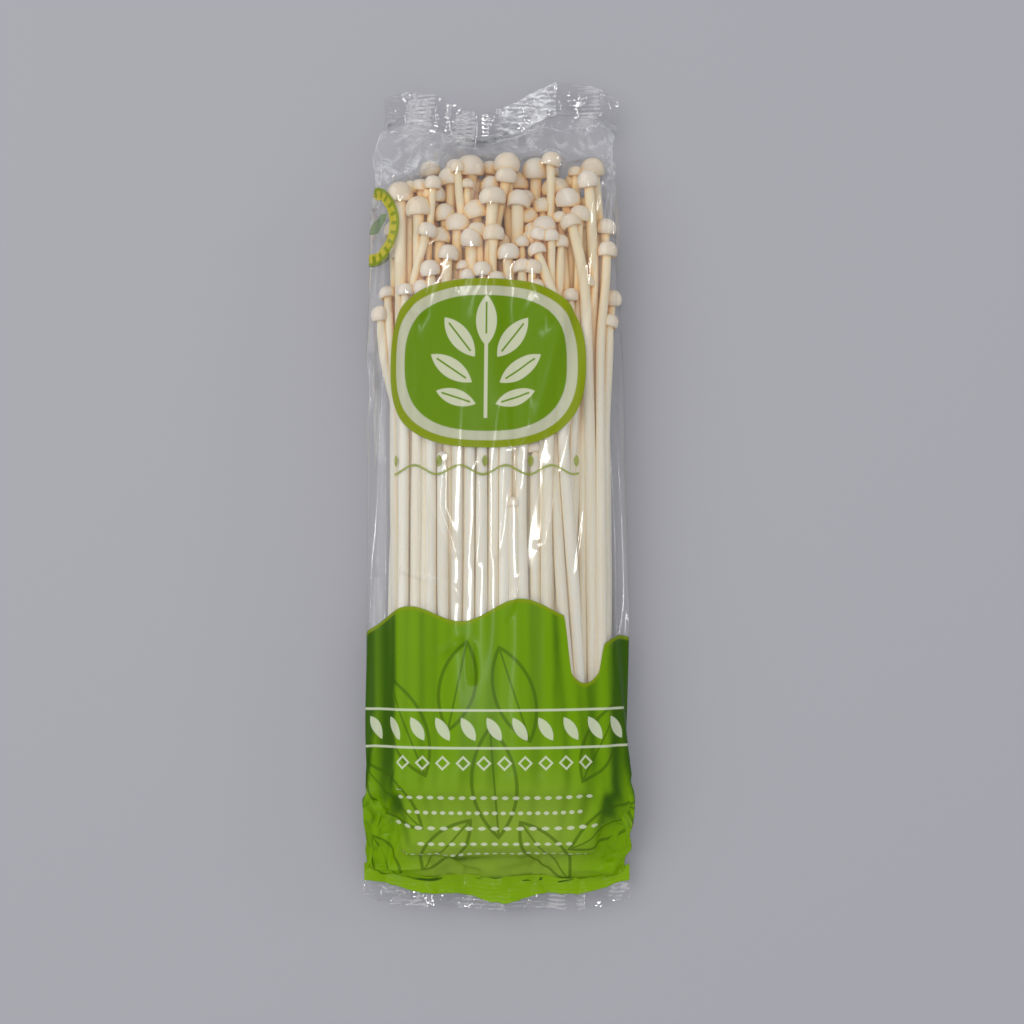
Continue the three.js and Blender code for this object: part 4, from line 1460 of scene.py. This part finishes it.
def seal_film(name, printed):
    """The film of the welded strips; the foot's ink runs into the lower one."""
    film = Finish(name)
    place = film.place()
    dust = film.noise(place, 900, 3, 0.7).between(0.45, 0.75)
    ribs = (film.axis(place, 1) * (2 * math.pi / RIB_PITCH)).sine() * 0.3 + film.noise(place, 420, 3, 0.6)
    ripple = film.bump(ribs, 0.0003, 0.5)
    milky = dust * 0.05
    if not printed:  # its scuffs run along the ribs
        across = film.axis(place, 0)
        patch = across.between(SCUFF_FROM - 0.002, SCUFF_FROM) * across.between(SCUFF_TO + 0.0004, SCUFF_TO)
        scuffs = film.noise(film.scaled(place, (0.2, 1, 1)), 1100, 3, 0.7).between(0.42, 0.66)
        milky = milky + patch * scuffs * 0.5
    clear = clear_part(film, milky, 0.06, ripple, gloss=1.62, clarity=0.93)
    if not printed:
        return film.surface(clear)
    sheet = film.node("ShaderNodeUVMap", {"uv_map": "FilmSheet"})
    across, depth = film.axis(sheet, 0), film.axis(sheet, 1) * STRIP_REACH
    limit = 3.4 + 1.1 * (across * 8.5 + 0.4).sine() + 0.5 * (across * 21.0).sine()
    ink = inside(limit - depth, 0.2)
    ink_shader = ink_part(film, INK_LIME, film.noise(place, 45, 2), film.bump(dust, 0.00005, 0.3))
    return film.surface(film.blend(ink * 0.92, clear, ink_shader))


# %% Put the films on
FOOT_FACES_UNDER = FOOT_TOP + 9
BADGE_FACES_FROM = TENDRIL_Y - 5
BADGE_FACES_TO = ROUNDEL_MIDDLE[1] + ROUNDEL_RADIUS + 2

put_on(pouch, clear_film(), badge_film(), foot_film())
sheet_map = numbers(pouch.data.uv_layers["FilmSheet"].data, "uv", 2) - 0.5
first_corners = numbers(pouch.data.polygons, "loop_start", 1, np.int64)[:, 0]
face_x, face_y = (sheet_map * (SHEET_WIDTH, SHEET_LENGTH))[first_corners].T
is_badge = (np.abs(face_x) < SHEET_WIDTH / 4 + 12) & (face_y > BADGE_FACES_FROM) & (face_y < BADGE_FACES_TO)
slots = np.where(face_y < FOOT_FACES_UNDER, 2, np.where(is_badge, 1, 0))
pouch.data.polygons.foreach_set("material_index", slots.astype(np.int32))
plain_seal = seal_film("ribbed_seal_film", False)
put_on(top_strip, plain_seal)
put_on(bottom_strip, seal_film("inked_seal_film", True))
put_on(fin, plain_seal)
for material in pouch.data.materials:
    print(material.name, len(material.node_tree.nodes), "nodes")

# %% [markdown]
# ## Floor, light and camera
#
# The pack lies on a pale matte floor and is seen from almost straight above. Large soft lights stand
# round it, and their reflections make the streaks on the film.

# %% Floor
FLOOR_SIZE = 3.0
deselect_all()
bpy.ops.mesh.primitive_grid_add(x_subdivisions=4, y_subdivisions=4, size=FLOOR_SIZE, location=(0, 0, 0))
floor = bpy.context.object
floor.name = "floor"
floor_material = bpy.data.materials.new("floor_matte")
floor_material.use_nodes = True
shader = floor_material.node_tree.nodes["Principled BSDF"]
shader.inputs["Base Color"].default_value = (0.342, 0.338, 0.366, 1)
shader.inputs["Roughness"].default_value = 0.6
floor.data.materials.append(floor_material)

# %% Lights


def soft_light(name, place, target, size, power, colour):
    data = bpy.data.lights.new(name, "AREA")
    data.shape = "RECTANGLE"
    data.size, data.size_y = size
    data.energy = power
    data.color = colour
    lamp = bpy.data.objects.new(name, data)
    lamp.location = place
    lamp.rotation_euler = (Vector(target) - Vector(place)).to_track_quat("-Z", "Y").to_euler()
    bpy.context.collection.objects.link(lamp)
    return lamp


soft_light("window_left", (-1.0, 0.5, 1.2), (0, 0, 0), (1.8, 1.4), 11, (1, 0.985, 0.96))
soft_light("panel_above", (-0.03, 0.03, 1.2), (-0.03, 0.03, 0), (0.09, 0.28), 2.4, (1, 0.99, 0.97))
soft_light("lamp_right", (0.85, 0.35, 0.32), (0, 0.04, 0.01), (0.12, 0.12), 0.8, (1, 0.99, 0.97))
world = bpy.data.worlds.new("soft_room")
world.use_nodes = True
world.node_tree.nodes["Background"].inputs["Color"].default_value = (0.93, 0.95, 1, 1)
world.node_tree.nodes["Background"].inputs["Strength"].default_value = 0.7
bpy.context.scene.world = world
bpy.context.scene.view_settings.view_transform = "Standard"

# %% Camera
IMAGE_SIDE = 1024
SPAN_ON_FLOOR = 0.256  # what the image's side covers at the pack
CAMERA_DISTANCE = 0.52
SENSOR = 36.0
PACK_MIDDLE_PX = (499.5, 491.5)
camera_data = bpy.data.cameras.new("camera")
camera_data.sensor_width = SENSOR
camera_data.lens = SENSOR * CAMERA_DISTANCE / SPAN_ON_FLOOR
camera = bpy.data.objects.new("camera", camera_data)
bpy.context.collection.objects.link(camera)
bpy.context.scene.camera = camera
elevation = math.radians(87)
aim = Vector((0, 0, 0.012))
camera.location = aim + CAMERA_DISTANCE * Vector((0, -math.cos(elevation), math.sin(elevation)))
camera.rotation_euler = (aim - camera.location).to_track_quat("-Z", "Y").to_euler()
camera_data.shift_x = -(PACK_MIDDLE_PX[0] - IMAGE_SIDE / 2) / IMAGE_SIDE
camera_data.shift_y = (PACK_MIDDLE_PX[1] - IMAGE_SIDE / 2) / IMAGE_SIDE
